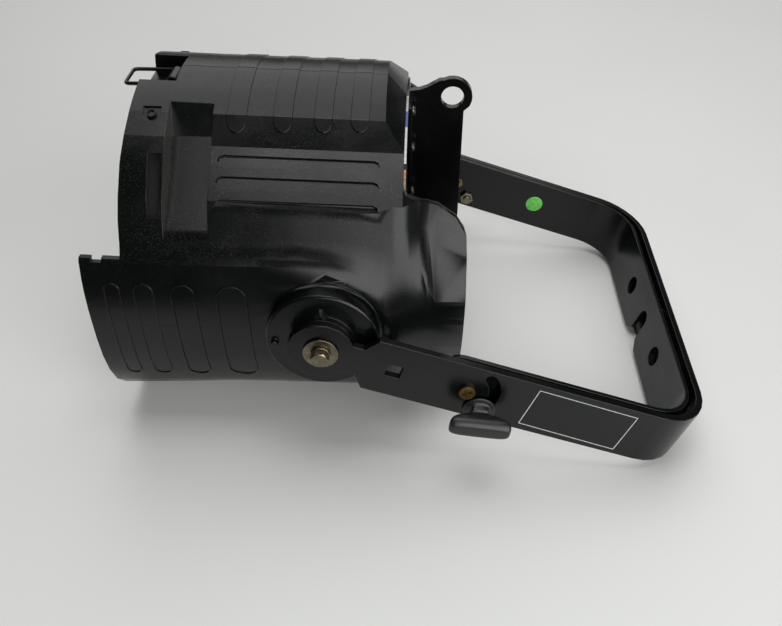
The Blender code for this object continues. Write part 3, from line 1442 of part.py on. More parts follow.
def make_knobs(parent, finishes):
    """The two winged knobs with their studs, and the nuts that they tighten into."""
    u, v = stud_place()
    centre = (u, v)
    base = YOKE_OUTER + FIT
    shapes = (
        (0.0, KNOB_HUB_RADIUS, KNOB_HUB_RADIUS),
        (0.10, KNOB_HUB_RADIUS, KNOB_HUB_RADIUS),
        (0.24, KNOB_NECK_RADIUS, KNOB_NECK_RADIUS),
        (0.42, KNOB_NECK_RADIUS * 1.1, KNOB_NECK_RADIUS),
        (0.62, KNOB_HALF_SPAN * 0.62, KNOB_HALF_THICKNESS),
        (0.80, KNOB_HALF_SPAN, KNOB_HALF_THICKNESS),
        (0.93, KNOB_HALF_SPAN, KNOB_HALF_THICKNESS * 0.9),
        (1.0, KNOB_HALF_SPAN * 0.9, KNOB_HALF_THICKNESS * 0.5),
    )
    for name, side in SIDES.items():
        layers = []
        for share, span, thick in shapes:
            outline = [(u + a * span, v + b * thick) for a, b in circle(1.0, (0.0, 0.0), 16)]
            layers.append((outline, side * (base + KNOB_LENGTH * share)))
        bm = bmesh.new()
        add_stack(bm, "Y", layers)
        knob = add_object(f"knob_{name}", bm, finishes["plastic"], parent, (u, side * YOKE_OUTER, v))
        stud = bmesh.new()
        low, high = sorted((side * (STAND_INNER - THIN_NUT_HEIGHT - STUD_RADIUS * 0.4), side * (base + WALL)))
        add_disc(stud, "Y", STUD_RADIUS, low, high, centre, 12)
        join(knob, f"knob_stud_{name}", stud, parent)
        add_nut(f"knob_nut_{name}", side, BOLT_HEAD_APOTHEM, STUD_RADIUS, STAND_INNER - FIT, THIN_NUT_HEIGHT,
                centre, finishes["zinc"], parent)


# The whole light


def make_finishes():
    """One plain material for each kind of surface."""
    finish("guide", (0.5, 0.5, 0.5), 0.5)
    return {
        "black": finish("black_powder_coat", (0.014, 0.014, 0.015), 0.42),
        "plastic": finish("black_moulded_plastic", (0.010, 0.010, 0.011), 0.38),
        "panel": finish("black_panel_paint", (0.012, 0.012, 0.013), 0.35),
        "zinc": finish("zinc_plated_steel", (0.58, 0.54, 0.44), 0.32, 1.0),
        "brass": finish("yellow_zinc", (0.60, 0.46, 0.22), 0.34, 1.0),
        "aluminium": finish("cast_aluminium", (0.62, 0.63, 0.64), 0.45, 1.0),
        "lens": finish("clear_lens", (0.85, 0.88, 0.90), 0.08),
        "window": finish("smoked_window", (0.02, 0.02, 0.025), 0.06),
        "rubber": finish("black_rubber", (0.018, 0.018, 0.018), 0.7),
        "phosphor": finish("emitter_phosphor", (0.85, 0.70, 0.25), 0.4),
        "white_board": finish("white_circuit_board", (0.80, 0.80, 0.78), 0.4),
        "green_board": finish("green_circuit_board", (0.02, 0.16, 0.07), 0.4),
    }


def main():
    clear_scene()
    finishes = make_finishes()
    body = add_empty("fixture", None, (-CENTRE_X, 0.0, 0.0))
    yoke_frame = add_empty("yoke_frame", body, (0.0, 0.0, PIVOT_Z))
    yoke_frame.rotation_euler = (0.0, REST_ANGLE, 0.0)

    for name, side in SIDES.items():
        make_shell(f"{name}_shell", side, body, finishes["black"])
    make_foot(body, finishes["rubber"])
    make_housing_screws(body, finishes["zinc"])
    make_accessory_guide(body, finishes["black"])
    make_clip(body, finishes["zinc"], finishes["black"])
    fan_front = make_optics(body, finishes)
    bulkhead_front = make_fan(body, fan_front, finishes)
    tray_front, chassis_inner = make_chassis(body, bulkhead_front, finishes)
    make_driver(body, tray_front, finishes)
    make_rear_panel(body, finishes)
    make_rear_bracket(body, finishes)
    make_pivots(body, chassis_inner, finishes)

    make_yoke(yoke_frame, finishes)
    make_stand_yoke(yoke_frame, (STAND_PIVOT, 0.0, 0.0), finishes)
    make_stand_hardware(yoke_frame, finishes)
    make_knobs(yoke_frame, finishes)


main()
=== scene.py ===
"""LED wash light: fine surfaces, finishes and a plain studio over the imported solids.

The light lies on z = 0 with its optical axis along X, the lens towards -X and its left side towards
the camera at -Y. Sizes are in metres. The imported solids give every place; the pieces made here keep to
them and add rounded edges, raised lines and bands, recesses, labels and finishes.
"""

import json
import math

import bpy
from mathutils import Matrix, Vector

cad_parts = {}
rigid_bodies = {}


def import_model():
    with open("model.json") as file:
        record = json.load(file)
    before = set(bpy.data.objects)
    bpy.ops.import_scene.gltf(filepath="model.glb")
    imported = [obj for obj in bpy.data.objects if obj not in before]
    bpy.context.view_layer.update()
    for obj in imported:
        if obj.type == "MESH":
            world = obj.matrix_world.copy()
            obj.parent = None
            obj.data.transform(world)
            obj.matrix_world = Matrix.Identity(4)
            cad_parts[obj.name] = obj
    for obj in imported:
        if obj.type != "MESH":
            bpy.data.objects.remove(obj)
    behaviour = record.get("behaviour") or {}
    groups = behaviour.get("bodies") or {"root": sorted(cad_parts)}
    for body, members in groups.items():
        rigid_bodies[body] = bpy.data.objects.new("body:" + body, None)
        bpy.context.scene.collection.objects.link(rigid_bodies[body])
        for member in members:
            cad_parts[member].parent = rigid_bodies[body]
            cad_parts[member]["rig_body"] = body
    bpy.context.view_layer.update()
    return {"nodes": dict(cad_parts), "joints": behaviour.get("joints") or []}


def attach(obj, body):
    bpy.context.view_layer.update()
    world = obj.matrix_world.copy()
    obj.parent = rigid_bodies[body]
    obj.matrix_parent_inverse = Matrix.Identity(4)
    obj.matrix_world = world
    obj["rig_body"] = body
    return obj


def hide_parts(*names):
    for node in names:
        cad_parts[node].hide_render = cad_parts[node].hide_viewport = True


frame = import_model()

bl_info = {
    "name": "LED Wash Light",
    "version": (1, 0, 0),
    "blender": (4, 5, 0),
    "location": "3D View > Sidebar > Wash Light",
    "description": "Fine surfaces, finishes and a studio for a stage LED wash light",
    "category": "Object",
}

JOINTS = {joint["name"]: joint for joint in frame["joints"]}
PIVOT = Vector(JOINTS["yoke_tilt"]["pos_m"])
KNOB_PLACE = Vector(JOINTS["knob_left_turn"]["pos_m"])
SIDES = {"left": -1, "right": 1}
# Ways along the axes, as seen with the lens ahead
AHEAD = (-1.0, 0.0, 0.0)
BEHIND = (1.0, 0.0, 0.0)
LEFT = (0.0, -1.0, 0.0)
RIGHT = (0.0, 1.0, 0.0)
UP = (0.0, 0.0, 1.0)
DOWN = (0.0, 0.0, -1.0)
# How far the yoke's arms slope down at rest
REST_ANGLE = math.radians(18.2)
# How far from the middle the long creases of the roof and its facet run on the round barrel
BARREL_RADIUS = 0.105
SHOULDER_LINE = BARREL_RADIUS * math.sin(math.radians(25.3))
BEND_LINE = BARREL_RADIUS * math.sin(math.radians(34.5)) - 0.0004
EDGE_LINE = BARREL_RADIUS * math.sin(math.radians(55.0))
CREASE_REACH = 0.0008
ROOF_FOOT = 0.165
# The shells' blended zone, which is the ramp and the ear: below this height and behind this place
BLEND_TOP = 0.176
BLEND_FRONT = -0.075
# The crease along the top of the pod
POD_CREASE_BACK = -0.06
POD_CREASE_INSIDE = 0.09
POD_CREASE_LOW = 0.1432
POD_CREASE_HIGH = 0.1478
# Radii of the rounded edges of small parts, plates, mouldings and thick plates
SMALL_ROUND = 0.0003
PLATE_ROUND = 0.0004
MOULDING_ROUND = 0.0005
THICK_ROUND = 0.0006


# Selection and shaping


def take(*objects):
    """Selects only these objects and makes the first one active."""
    bpy.ops.object.select_all(action="DESELECT")
    for obj in objects:
        obj.select_set(True)
    bpy.context.view_layer.objects.active = objects[0]


def edit(obj, action="SELECT", kind="VERT"):
    """Opens a mesh in edit mode with all or none of it selected."""
    take(obj)
    bpy.ops.object.mode_set(mode="EDIT")
    bpy.ops.mesh.select_mode(type=kind)
    bpy.ops.mesh.select_all(action=action)


def leave():
    """Closes edit mode."""
    bpy.ops.object.mode_set(mode="OBJECT")


def pick(obj, test):
    """Opens a mesh in edit mode with the faces selected whose centre and normal pass the test."""
    edit(obj, "DESELECT", "FACE")
    leave()
    for face in obj.data.polygons:
        face.select = test(face.center, face.normal)
    bpy.ops.object.mode_set(mode="EDIT")


def modify(obj, kind, **settings):
    """Adds a modifier with its settings and applies it."""
    take(obj)
    modifier = obj.modifiers.new(kind.title(), kind)
    for name, value in settings.items():
        setattr(modifier, name, value)
    bpy.ops.object.modifier_apply(modifier=modifier.name)


def settle(obj, name):
    """Names a new piece and puts its place into its mesh."""
    take(obj)
    bpy.ops.object.transform_apply(location=True, rotation=True, scale=True)
    obj.name = name
    obj.data.name = name
    return obj


def smooth(obj, angle):
    """Smooth shading with the sharp edges kept."""
    take(obj)
    bpy.ops.object.shade_smooth_by_angle(angle=math.radians(angle))


def soften(obj, radius, angle=30.0, clamp=True):
    """Rounds the sharp edges of a piece, as paint and tumbling do, and keeps its flat faces flat.

    The clamp holds the whole piece to what its smallest edge bears, so large plates go without it.
    """
    flatten(obj)
    smooth(obj, angle)
    modify(
        obj, "BEVEL", width=radius, segments=2, limit_method="ANGLE", angle_limit=math.radians(angle),
        miter_outer="MITER_ARC", use_clamp_overlap=clamp, harden_normals=True,
    )


def mark_lines(obj, test, clear, spared=()):
    """Marks the edges sharp whose ends both pass the test, or clears them, but for the spared ones."""
    for line in obj.data.edges:
        inside = all(test(obj.data.vertices[index].co) for index in line.vertices)
        line.select = inside and line.index not in spared
    bpy.ops.object.mode_set(mode="EDIT")
    bpy.ops.mesh.mark_sharp(clear=clear)
    leave()


def crease(obj, test):
    """Keeps the edges sharp in the shading whose two ends both pass the test."""
    edit(obj, "DESELECT", "EDGE")
    leave()
    mark_lines(obj, test, clear=False)


def fade(obj, test, angle):
    """Takes the shading's sharp lines out of a blended zone, but for the edges steeper than the angle."""
    edit(obj, "DESELECT", "EDGE")
    bpy.ops.mesh.edges_select_sharp(sharpness=math.radians(angle))
    leave()
    steep = {line.index for line in obj.data.edges if line.select}
    mark_lines(obj, test, clear=True, spared=steep)


def trimmed(obj, point, normal):
    """Cuts an open skin at a plane and drops what lies on the side that the normal points to."""
    edit(obj)
    bpy.ops.mesh.bisect(plane_co=point, plane_no=normal, clear_outer=True, use_fill=False)
    leave()


def twin(obj, name):
    """A second piece with a mesh of its own."""
    copy = bpy.data.objects.new(name, obj.data.copy())
    copy.data.name = name
    bpy.context.scene.collection.objects.link(copy)
    return copy


def fine_copy(node, name):
    """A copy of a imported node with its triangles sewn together."""
    obj = twin(frame["nodes"][node], name)
    edit(obj)
    bpy.ops.mesh.customdata_custom_splitnormals_clear()
    bpy.ops.mesh.remove_doubles(threshold=1e-6)
    leave()
    return obj


def flatten(obj):
    """Takes out the lines inside flat faces, so that only real edges are rounded."""
    flat = math.radians(0.4)
    edit(obj)
    bpy.ops.mesh.dissolve_limited(angle_limit=flat)
    leave()


def mirrored(obj, name):
    """The same piece on the other side of the light, with its faces turned outwards again."""
    copy = twin(obj, name)
    take(copy)
    copy.scale = (1.0, -1.0, 1.0)
    bpy.ops.object.transform_apply(location=False, rotation=False, scale=True)
    edit(copy)
    bpy.ops.mesh.normals_make_consistent(inside=False)
    leave()
    return copy


def combine(obj, other, operation):
    """Cuts, adds or keeps the shared part of another closed piece, which is used up."""
    modify(obj, "BOOLEAN", object=other, operation=operation, solver="EXACT")
    bpy.data.objects.remove(other)


def joined(name, *objects):
    """Several pieces as one mesh."""
    take(*objects)
    if len(objects) > 1:
        bpy.ops.object.join()
    return settle(objects[0], name)


def wear(obj, coat, body, slot, *nodes):
    """Gives a finished piece its finish and its body; it stands for the nodes named. The slot is not used."""
    obj.data.materials.clear()
    obj.data.materials.append(finish(coat))
    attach(obj, body)
    if nodes:
        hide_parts(*nodes)


def dress(node, coat, slot, radius=SMALL_ROUND, clamp=True):
    """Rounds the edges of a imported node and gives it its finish, on the node's own body."""
    piece = fine_copy(node, f"{node}_fine")
    soften(piece, radius, clamp=clamp)
    wear(piece, coat, frame_body(node), slot, node)


def frame_body(node):
    """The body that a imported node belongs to."""
    return frame["nodes"][node]["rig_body"]


def outline(points):
    """A closed loop of edges through the points."""
    bpy.ops.object.select_all(action="DESELECT")
    bpy.ops.mesh.primitive_circle_add(vertices=len(points), radius=1.0, fill_type="NOTHING")
    loop = bpy.context.object
    for vertex, point in zip(loop.data.vertices, points):
        vertex.co = point
    return loop


def turned(name, profile, centre, axis, steps=48):
    """A lathe piece: a closed outline of (radius, height) points spun about an axis through centre."""
    axis = Vector(axis).normalized()
    across = axis.orthogonal().normalized()
    obj = outline([Vector(centre) + across * radius + axis * height for radius, height in profile])
    edit(obj)
    bpy.ops.mesh.spin(steps=steps, angle=math.tau, center=centre, axis=axis)
    bpy.ops.mesh.select_all(action="SELECT")
    bpy.ops.mesh.remove_doubles(threshold=2e-6)
    bpy.ops.mesh.delete_loose()
    bpy.ops.mesh.select_all(action="SELECT")
    bpy.ops.mesh.normals_make_consistent(inside=False)
    leave()
    return settle(obj, name)


def pick_range(obj, first, last):
    """Opens a mesh in edit mode with the vertices selected from the first up to the last, left out."""
    edit(obj, "DESELECT", "VERT")
    leave()
    for vertex in obj.data.vertices[first:last]:
        vertex.select = True
    bpy.ops.object.mode_set(mode="EDIT")


def lofted(name, rings):
    """A closed skin over rings of equal count, bridged one after another and capped."""
    obj = joined(name, *[outline(ring) for ring in rings])
    count = len(rings[0])
    for step in range(len(rings) - 1):
        pick_range(obj, step * count, (step + 2) * count)
        bpy.ops.mesh.select_mode(type="EDGE")
        bpy.ops.mesh.bridge_edge_loops()
        leave()
    for first in (0, (len(rings) - 1) * count):
        pick_range(obj, first, first + count)
        bpy.ops.mesh.edge_face_add()
        leave()
    edit(obj)
    bpy.ops.mesh.normals_make_consistent(inside=False)
    leave()
    return obj


def block(name, low, high):
    """A rectangular block between two corners, to be shaped further."""
    low, high = Vector(low), Vector(high)
    bpy.ops.object.select_all(action="DESELECT")
    bpy.ops.mesh.primitive_cube_add(size=1.0, location=(low + high) / 2)
    obj = bpy.context.object
    obj.dimensions = high - low
    return settle(obj, name)


def stadium(name, centre, half_width, half_length, depth, steps=12):
    """A plate with round ends, standing in the XZ plane and depth thick along Y."""
    bpy.ops.object.select_all(action="DESELECT")
    bpy.ops.mesh.primitive_circle_add(vertices=steps * 4, radius=half_width, fill_type="NGON")
    obj = bpy.context.object
    shift = half_length - half_width
    for vertex in obj.data.vertices:
        vertex.co.y += math.copysign(shift, vertex.co.y + 1e-7 * math.copysign(1, vertex.co.x))
    obj.rotation_euler = (math.radians(90), 0.0, 0.0)
    obj.location = Vector(centre) + Vector((0.0, depth / 2, 0.0))
    settle(obj, name)
    edit(obj)
    bpy.ops.mesh.extrude_region_move(TRANSFORM_OT_translate={"value": (0.0, -depth, 0.0)})
    bpy.ops.mesh.select_all(action="SELECT")
    bpy.ops.mesh.normals_make_consistent(inside=False)
    leave()
    return obj


# Finishes


def linear(code):
    """An sRGB hex colour as linear red, green and blue with a full alpha."""
    channels = [int(code[start:start + 2], 16) / 255 for start in (1, 3, 5)]
    straight = [c / 12.92 if c <= 0.04045 else ((c + 0.055) / 1.055) ** 2.4 for c in channels]
    return (*straight, 1.0)


def add(tree, kind, inputs=None, **settings):
    """Adds a shader node of a kind, sets its properties, and sets or links its inputs by name or number."""
    node = tree.nodes.new(f"ShaderNode{kind}")
    for name, value in settings.items():
        setattr(node, name, value)
    for key, value in (inputs or {}).items():
        if isinstance(value, bpy.types.NodeSocket):
            tree.links.new(value, node.inputs[key])
        else:
            node.inputs[key].default_value = value
    return node


def new_material(name, **shader):
    """A material with its Principled shader's plain values set; returns it, its tree and the shader."""
    material = bpy.data.materials.new(name)
    material.use_nodes = True
    tree = material.node_tree
    principled = tree.nodes["Principled BSDF"]
    for key, value in shader.items():
        principled.inputs[key.replace("_", " ")].default_value = value
    return material, tree, principled


def powder_coat(name, colour, dust_colour, dust, roughness):
    """Polyester powder coat, sprayed and baked: satin black with a faint orange peel.

    The dust that has settled shows as fine grey specks, thicker in patches.
    """
    material, tree, shader = new_material(name, Roughness=roughness, IOR=1.41)
    place = add(tree, "TexCoord").outputs["Object"]
    # Specks of 0.2 to 0.3 mm on a 0.7 mm cell
    cells = add(tree, "TexVoronoi", {"Vector": place, "Scale": 1 / 0.0007})
    near = add(tree, "MapRange", {"Value": cells.outputs["Distance"], "From Min": 0.42, "From Max": 0.22})
    chosen = add(tree, "SeparateColor", {"Color": cells.outputs["Color"]})
    some = add(tree, "MapRange", {"Value": chosen.outputs["Red"], "From Min": 0.30})
    # Patches some 25 mm across where more dust lies
    patch = add(tree, "TexNoise", {"Vector": place, "Scale": 1 / 0.025, "Detail": 4.0})
    lying = add(
        tree, "MapRange",
        {"Value": patch.outputs["Fac"], "From Min": 0.38, "From Max": 0.66, "To Min": 0.25},
    )
    # Dust rests where the surface looks up
    normal = add(tree, "NewGeometry").outputs["Normal"]
    facing = add(tree, "SeparateXYZ", {"Vector": normal})
    upward = add(tree, "MapRange", {"Value": facing.outputs["Z"], "From Min": -0.05, "From Max": 0.65})
    speck = add(tree, "Math", {0: near.outputs["Result"], 1: some.outputs["Result"]}, operation="MULTIPLY")
    where = add(tree, "Math", {0: lying.outputs["Result"], 1: upward.outputs["Result"]}, operation="MULTIPLY")
    settled = add(tree, "Math", {0: speck.outputs[0], 1: where.outputs[0]}, operation="MULTIPLY")
    # More of it clings to the walls that face backwards in the window's pocket and the vent, which lie
    # in front of this place
    pocket_back = -0.1465
    spot = add(tree, "SeparateXYZ", {"Vector": place})
    front = add(tree, "Math", {0: spot.outputs["X"], 1: pocket_back}, operation="LESS_THAN")
    back = add(tree, "Math", {0: facing.outputs["X"], 1: 0.8}, operation="GREATER_THAN")
    wall = add(tree, "Math", {0: front.outputs[0], 1: back.outputs[0]}, operation="MULTIPLY")
    clinging = add(tree, "Math", {0: wall.outputs[0], 1: cells.outputs["Distance"]}, operation="MULTIPLY")
    most = add(tree, "Math", {0: settled.outputs[0], 1: clinging.outputs[0]}, operation="MAXIMUM")
    amount = add(tree, "Math", {0: most.outputs[0], 1: dust}, operation="MULTIPLY")
    mix = add(tree, "Mix", {"Factor": amount.outputs[0], "A": colour, "B": dust_colour}, data_type="RGBA")
    tree.links.new(mix.outputs["Result"], shader.inputs["Base Color"])
    # Orange peel of about 0.9 mm, with the slow waves of a casting under it
    peel = add(tree, "TexNoise", {"Vector": place, "Scale": 1 / 0.0009, "Detail": 2.0})
    wave = add(tree, "TexNoise", {"Vector": place, "Scale": 1 / 0.018, "Detail": 2.0})
    height = add(
        tree, "Math",
        {0: wave.outputs["Fac"], 1: 1.6, 2: peel.outputs["Fac"]}, operation="MULTIPLY_ADD",
    )
    bump = add(tree, "Bump", {"Height": height.outputs[0], "Strength": 0.35, "Distance": 0.00008})
    tree.links.new(bump.outputs["Normal"], shader.inputs["Normal"])
    # Sheen changes a little where hands and cloths have been
    rub = add(tree, "TexNoise", {"Vector": place, "Scale": 1 / 0.04, "Detail": 5.0})
    gloss = add(
        tree, "MapRange",
        {"Value": rub.outputs["Fac"], "From Min": 0.3, "From Max": 0.7,
         "To Min": roughness - 0.05, "To Max": roughness + 0.07},
    )
    tree.links.new(gloss.outputs["Result"], shader.inputs["Roughness"])
    return material


def clouded_surface(material, tree, shader, tones, clouds, gloss, grain, bump):
    """Clouds a surface's colour and gloss and gives it a fine grain.

    The clouds and the grain each have a size and a detail, the gloss its least and most roughness, and
    the bump its strength and its height.
    """
    place = add(tree, "TexCoord").outputs["Object"]
    cloud = add(tree, "TexNoise", {"Vector": place, "Scale": 1 / clouds[0], "Detail": clouds[1]})
    factor = cloud.outputs["Fac"]
    mix = add(tree, "Mix", {"Factor": factor, "A": tones[0], "B": tones[1]}, data_type="RGBA")
    tree.links.new(mix.outputs["Result"], shader.inputs["Base Color"])
    rough = add(
        tree, "MapRange",
        {"Value": factor, "From Min": 0.3, "From Max": 0.7, "To Min": gloss[0], "To Max": gloss[1]},
    )
    tree.links.new(rough.outputs["Result"], shader.inputs["Roughness"])
    fine = add(tree, "TexNoise", {"Vector": place, "Scale": 1 / grain[0], "Detail": grain[1]})
    relief = add(tree, "Bump", {"Height": fine.outputs["Fac"], "Strength": bump[0], "Distance": bump[1]})
    tree.links.new(relief.outputs["Normal"], shader.inputs["Normal"])
    return material


def plated_steel(name, colour, tint, roughness):
    """Zinc plated steel: bright, slightly clouded, with the fine lines of forming."""
    return clouded_surface(
        *new_material(name, Metallic=1.0), (colour, tint),
        clouds=(0.003, 5.0), gloss=(roughness - 0.08, roughness + 0.1),
        grain=(0.0006, 3.0), bump=(0.25, 0.00005),
    )


def moulded_plastic(name, colour, worn, roughness):
    """Injection moulded plastic with a fine spark-eroded grain that rubs shiny on its high places."""
    return clouded_surface(
        *new_material(name), (colour, worn),
        clouds=(0.008, 4.0), gloss=(roughness - 0.06, roughness + 0.06),
        grain=(0.0007, 2.0), bump=(0.3, 0.00006),
    )


def extruded_aluminium(name, colour, tint):
    """Mill finish aluminium: matt grey with long drawing lines."""
    material, tree, shader = new_material(name, Metallic=1.0, Roughness=0.42)
    place = add(tree, "TexCoord").outputs["Object"]
    along = add(tree, "Mapping", {"Vector": place, "Scale": (60.0, 2500.0, 2500.0)})
    lines = add(tree, "TexNoise", {"Vector": along.outputs["Vector"], "Scale": 1.0, "Detail": 3.0})
    mix = add(tree, "Mix", {"Factor": lines.outputs["Fac"], "A": colour, "B": tint}, data_type="RGBA")
    tree.links.new(mix.outputs["Result"], shader.inputs["Base Color"])
    return material


def solder_mask(name, colour, copper):
    """Fibreglass board under green solder mask, with tracks showing as a lighter pattern."""
    material, tree, shader = new_material(name, Roughness=0.35)
    place = add(tree, "TexCoord").outputs["Object"]
    tracks = add(
        tree, "TexBrick",
        {"Vector": place, "Color1": colour, "Color2": colour, "Mortar": copper,
         "Scale": 120.0, "Mortar Size": 0.012},
    )
    tree.links.new(tracks.outputs["Color"], shader.inputs["Base Color"])
    return material


def printed_film(name, colour, second):
    """Printed vinyl film with a little mottling in its ink."""
    material, tree, shader = new_material(name, Roughness=0.4)
    place = add(tree, "TexCoord").outputs["Object"]
    mottle = add(tree, "TexNoise", {"Vector": place, "Scale": 1 / 0.0022, "Detail": 3.0})
    sharp = add(tree, "MapRange", {"Value": mottle.outputs["Fac"], "From Min": 0.42, "From Max": 0.62})
    mix = add(tree, "Mix", {"Factor": sharp.outputs["Result"], "A": colour, "B": second}, data_type="RGBA")
    tree.links.new(mix.outputs["Result"], shader.inputs["Base Color"])
    return material


def polished_lens(name, colour):
    """Cast acrylic, polished: clear, with a slight tint in its depth."""
    material, tree, shader = new_material(name, Base_Color=colour, Roughness=0.03, IOR=1.49)
    shader.inputs["Transmission Weight"].default_value = 1.0
    place = add(tree, "TexCoord").outputs["Object"]
    ripple = add(tree, "TexNoise", {"Vector": place, "Scale": 1 / 0.012, "Detail": 1.0})
    bump = add(tree, "Bump", {"Height": ripple.outputs["Fac"], "Strength": 0.1, "Distance": 0.0001})
    tree.links.new(bump.outputs["Normal"], shader.inputs["Normal"])
    return material


# What a user would change


def length_setting(name, default, description):
    """A length that the panel shows."""
    return bpy.props.FloatProperty(name=name, description=description, default=default, unit="LENGTH")


def colour_setting(name, code, description):
    """A colour that the panel shows."""
    return bpy.props.FloatVectorProperty(
        name=name, description=description, default=linear(code), size=4, subtype="COLOR", min=0.0, max=1.0,
    )


class WashLightSizes(bpy.types.PropertyGroup):
    """Sizes of the fine detail."""

    casting_round: length_setting(
        "Casting edge", 0.0003, "Radius of the painted edges of the die-cast shells",
    )
    strap_round: length_setting("Strap edge", 0.0005, "Radius of the edges of the folded steel straps")
    band_height: length_setting("Band height", 0.0006, "How far the four bands stand out of the roof")
    bead_height: length_setting(
        "Bead height", 0.0007, "Height of the beads round the long panels of the pod",
    )
    sticker_radius: length_setting("Sticker radius", 0.0072, "Radius of the round inspection sticker")
    label_line: length_setting("Label line", 0.0006, "Width of the line round the bare label on the yoke")


class WashLightColours(bpy.types.PropertyGroup):
    """Colours of the finishes, in linear light."""

    coat: colour_setting("Powder coat", "#040506", "Satin black of the casting and the straps")
    dust: colour_setting("Dust", "#8f8d86", "Settled dust on the coat")
    plastic: colour_setting("Plastic", "#141516", "Black of the knobs, sockets and buttons")
    zinc: colour_setting("Zinc", "#918a79", "Bright zinc of the bolts and washers")
    yellow_zinc: colour_setting("Yellow zinc", "#a5946c", "Yellow passivated zinc of the stand screws")
    sticker: colour_setting("Sticker", "#5fb54c", "Green of the round sticker")
    floor: colour_setting("Floor", "#e4e5e2", "Pale sheet that the light lies on")


def sizes():
    """The scene's sizes."""
    return bpy.context.scene.wash_light_sizes


def colours():
    """The scene's colours."""
    return bpy.context.scene.wash_light_colours


def finish(name):
    """The finish of that name, made when it is first asked for."""
    if name in bpy.data.materials:
        return bpy.data.materials[name]
    tone = colours()
    makers = {
        "casting coat": lambda: powder_coat(name, tone.coat, tone.dust, dust=0.22, roughness=0.27),
        "strap coat": lambda: powder_coat(name, tone.coat, tone.dust, dust=0.05, roughness=0.25),
        "bracket coat": lambda: powder_coat(name, linear("#020203"), tone.dust, dust=0.02, roughness=0.24),
        "moulded plastic": lambda: moulded_plastic(name, tone.plastic, linear("#1d1e20"), 0.38),
        "zinc plate": lambda: plated_steel(name, tone.zinc, linear("#5f5848"), 0.30),
        "yellow zinc plate": lambda: plated_steel(name, tone.yellow_zinc, linear("#8a6f3a"), 0.34),
        "mill aluminium": lambda: extruded_aluminium(name, linear("#c4c5c7"), linear("#a3a5a8")),
        "board": lambda: solder_mask(name, linear("#1b5a34"), linear("#3f8a52")),
        "acrylic lens": lambda: polished_lens(name, linear("#eef2f4")),
        "smoked acrylic": lambda: moulded_plastic(name, linear("#08080a"), linear("#0b0b0d"), 0.12),
        # Near-black matt finish of the plates that paint the shade inside the vent slots
        "painted shade black": lambda: moulded_plastic(name, linear("#020202"), linear("#040404"), 0.85),
        "soft rubber": lambda: moulded_plastic(name, linear("#101011"), linear("#1a1a1a"), 0.7),
        "green film": lambda: printed_film(name, tone.sticker, linear("#4c9a3d")),
        "silver ink": lambda: printed_film(name, linear("#b9bcbc"), linear("#a6a9a9")),
        "white film": lambda: printed_film(name, linear("#d7d8d6"), linear("#c4c5c4")),
        "blue film": lambda: printed_film(name, linear("#4d5fae"), linear("#43549e")),
        "amber film": lambda: printed_film(name, linear("#b98f73"), linear("#9c6f52")),
    }
    return makers[name]()


# Fasteners


def head_centre(obj, axis):
    """The middle of a round piece's end, on the side that the axis points to."""
    axis = Vector(axis).normalized()
    middle = sum((vertex.co for vertex in obj.data.vertices), Vector()) / len(obj.data.vertices)
    reach = max(vertex.co.dot(axis) for vertex in obj.data.vertices)
    return middle + axis * (reach - middle.dot(axis))


def cross_recess(obj, axis, span, depth):
    """Cuts a cross recess into a screw's head, turned as the screw happened to stop."""
    turn = 0.4
    axis = Vector(axis).normalized()
    centre = head_centre(obj, axis)
    swing = Vector((0.0, 0.0, 1.0)).rotation_difference(axis).to_matrix().to_4x4()
    slit = span * 0.24
    for step in (0.0, math.pi / 2):
        arm = block("arm", (-span, -slit, -depth), (span, slit, depth))
        arm.matrix_world = Matrix.Translation(centre) @ swing @ Matrix.Rotation(turn + step, 4, "Z")
        combine(obj, settle(arm, "arm"), "DIFFERENCE")


def socket_recess(obj, axis, radius, depth):
    """Cuts a round socket into a screw's head."""
    axis = Vector(axis).normalized()
    profile = [(0.0, -depth), (radius, -depth), (radius, depth), (0.0, depth)]
    combine(obj, turned("socket", profile, head_centre(obj, axis), axis, steps=24), "DIFFERENCE")


def chamfered_head(obj, axis, radius):
    """Turns off the corners at the end of a hexagon head, at 30 degrees outside the radius.

    The cone runs on a little past the head's end, so that the two end faces don't share a plane.
    """
    reach, fall, below, past = 0.02, 0.01155, -0.2, 0.1
    axis = Vector(axis).normalized()
    wide, narrow, top = radius + reach, radius - reach * past, fall * past
    profile = [(0.0, below), (wide, below), (wide, -fall), (narrow, top), (0.0, top)]
    combine(obj, turned("chamfer", profile, head_centre(obj, axis), axis), "INTERSECT")


# The housing


# The four bands over the roof: each one's front and back, and how far out its round lower end reaches
BANDS = (
    (-0.1126, -0.1001, 0.0531),
    (-0.0843, -0.0724, 0.0522),
    (-0.0595, -0.0481, 0.0515),
    (-0.0372, -0.0258, 0.0506),
)
# The pod's four long panels with round ends: place along the light, half width, height, half length
PANELS = (
    (-0.1828, 0.0048, 0.0915, 0.0400),
    (-0.1631, 0.0060, 0.0918, 0.0402),
    (-0.1384, 0.0072, 0.0918, 0.0405),
    (-0.1084, 0.0093, 0.0920, 0.0405),
)


def skin_slab(shell, planes, test, outward, inward):
    """The shell's skin inside the planes that passes the test, as a slab from outward to inward of it.

    A plane is the way that it faces along one axis and its place on that axis.
    """
    slab = twin(shell, "skin_slab")
    for normal, place in planes:
        trimmed(slab, [abs(part) * place for part in normal], normal)
    pick(slab, lambda centre, normal: not test(centre, normal))
    bpy.ops.mesh.delete(type="FACE")
    leave()
    total = outward + inward
    offset = (outward - inward) / total
    modify(slab, "SOLIDIFY", thickness=total, offset=offset, use_even_offset=True)
    return slab


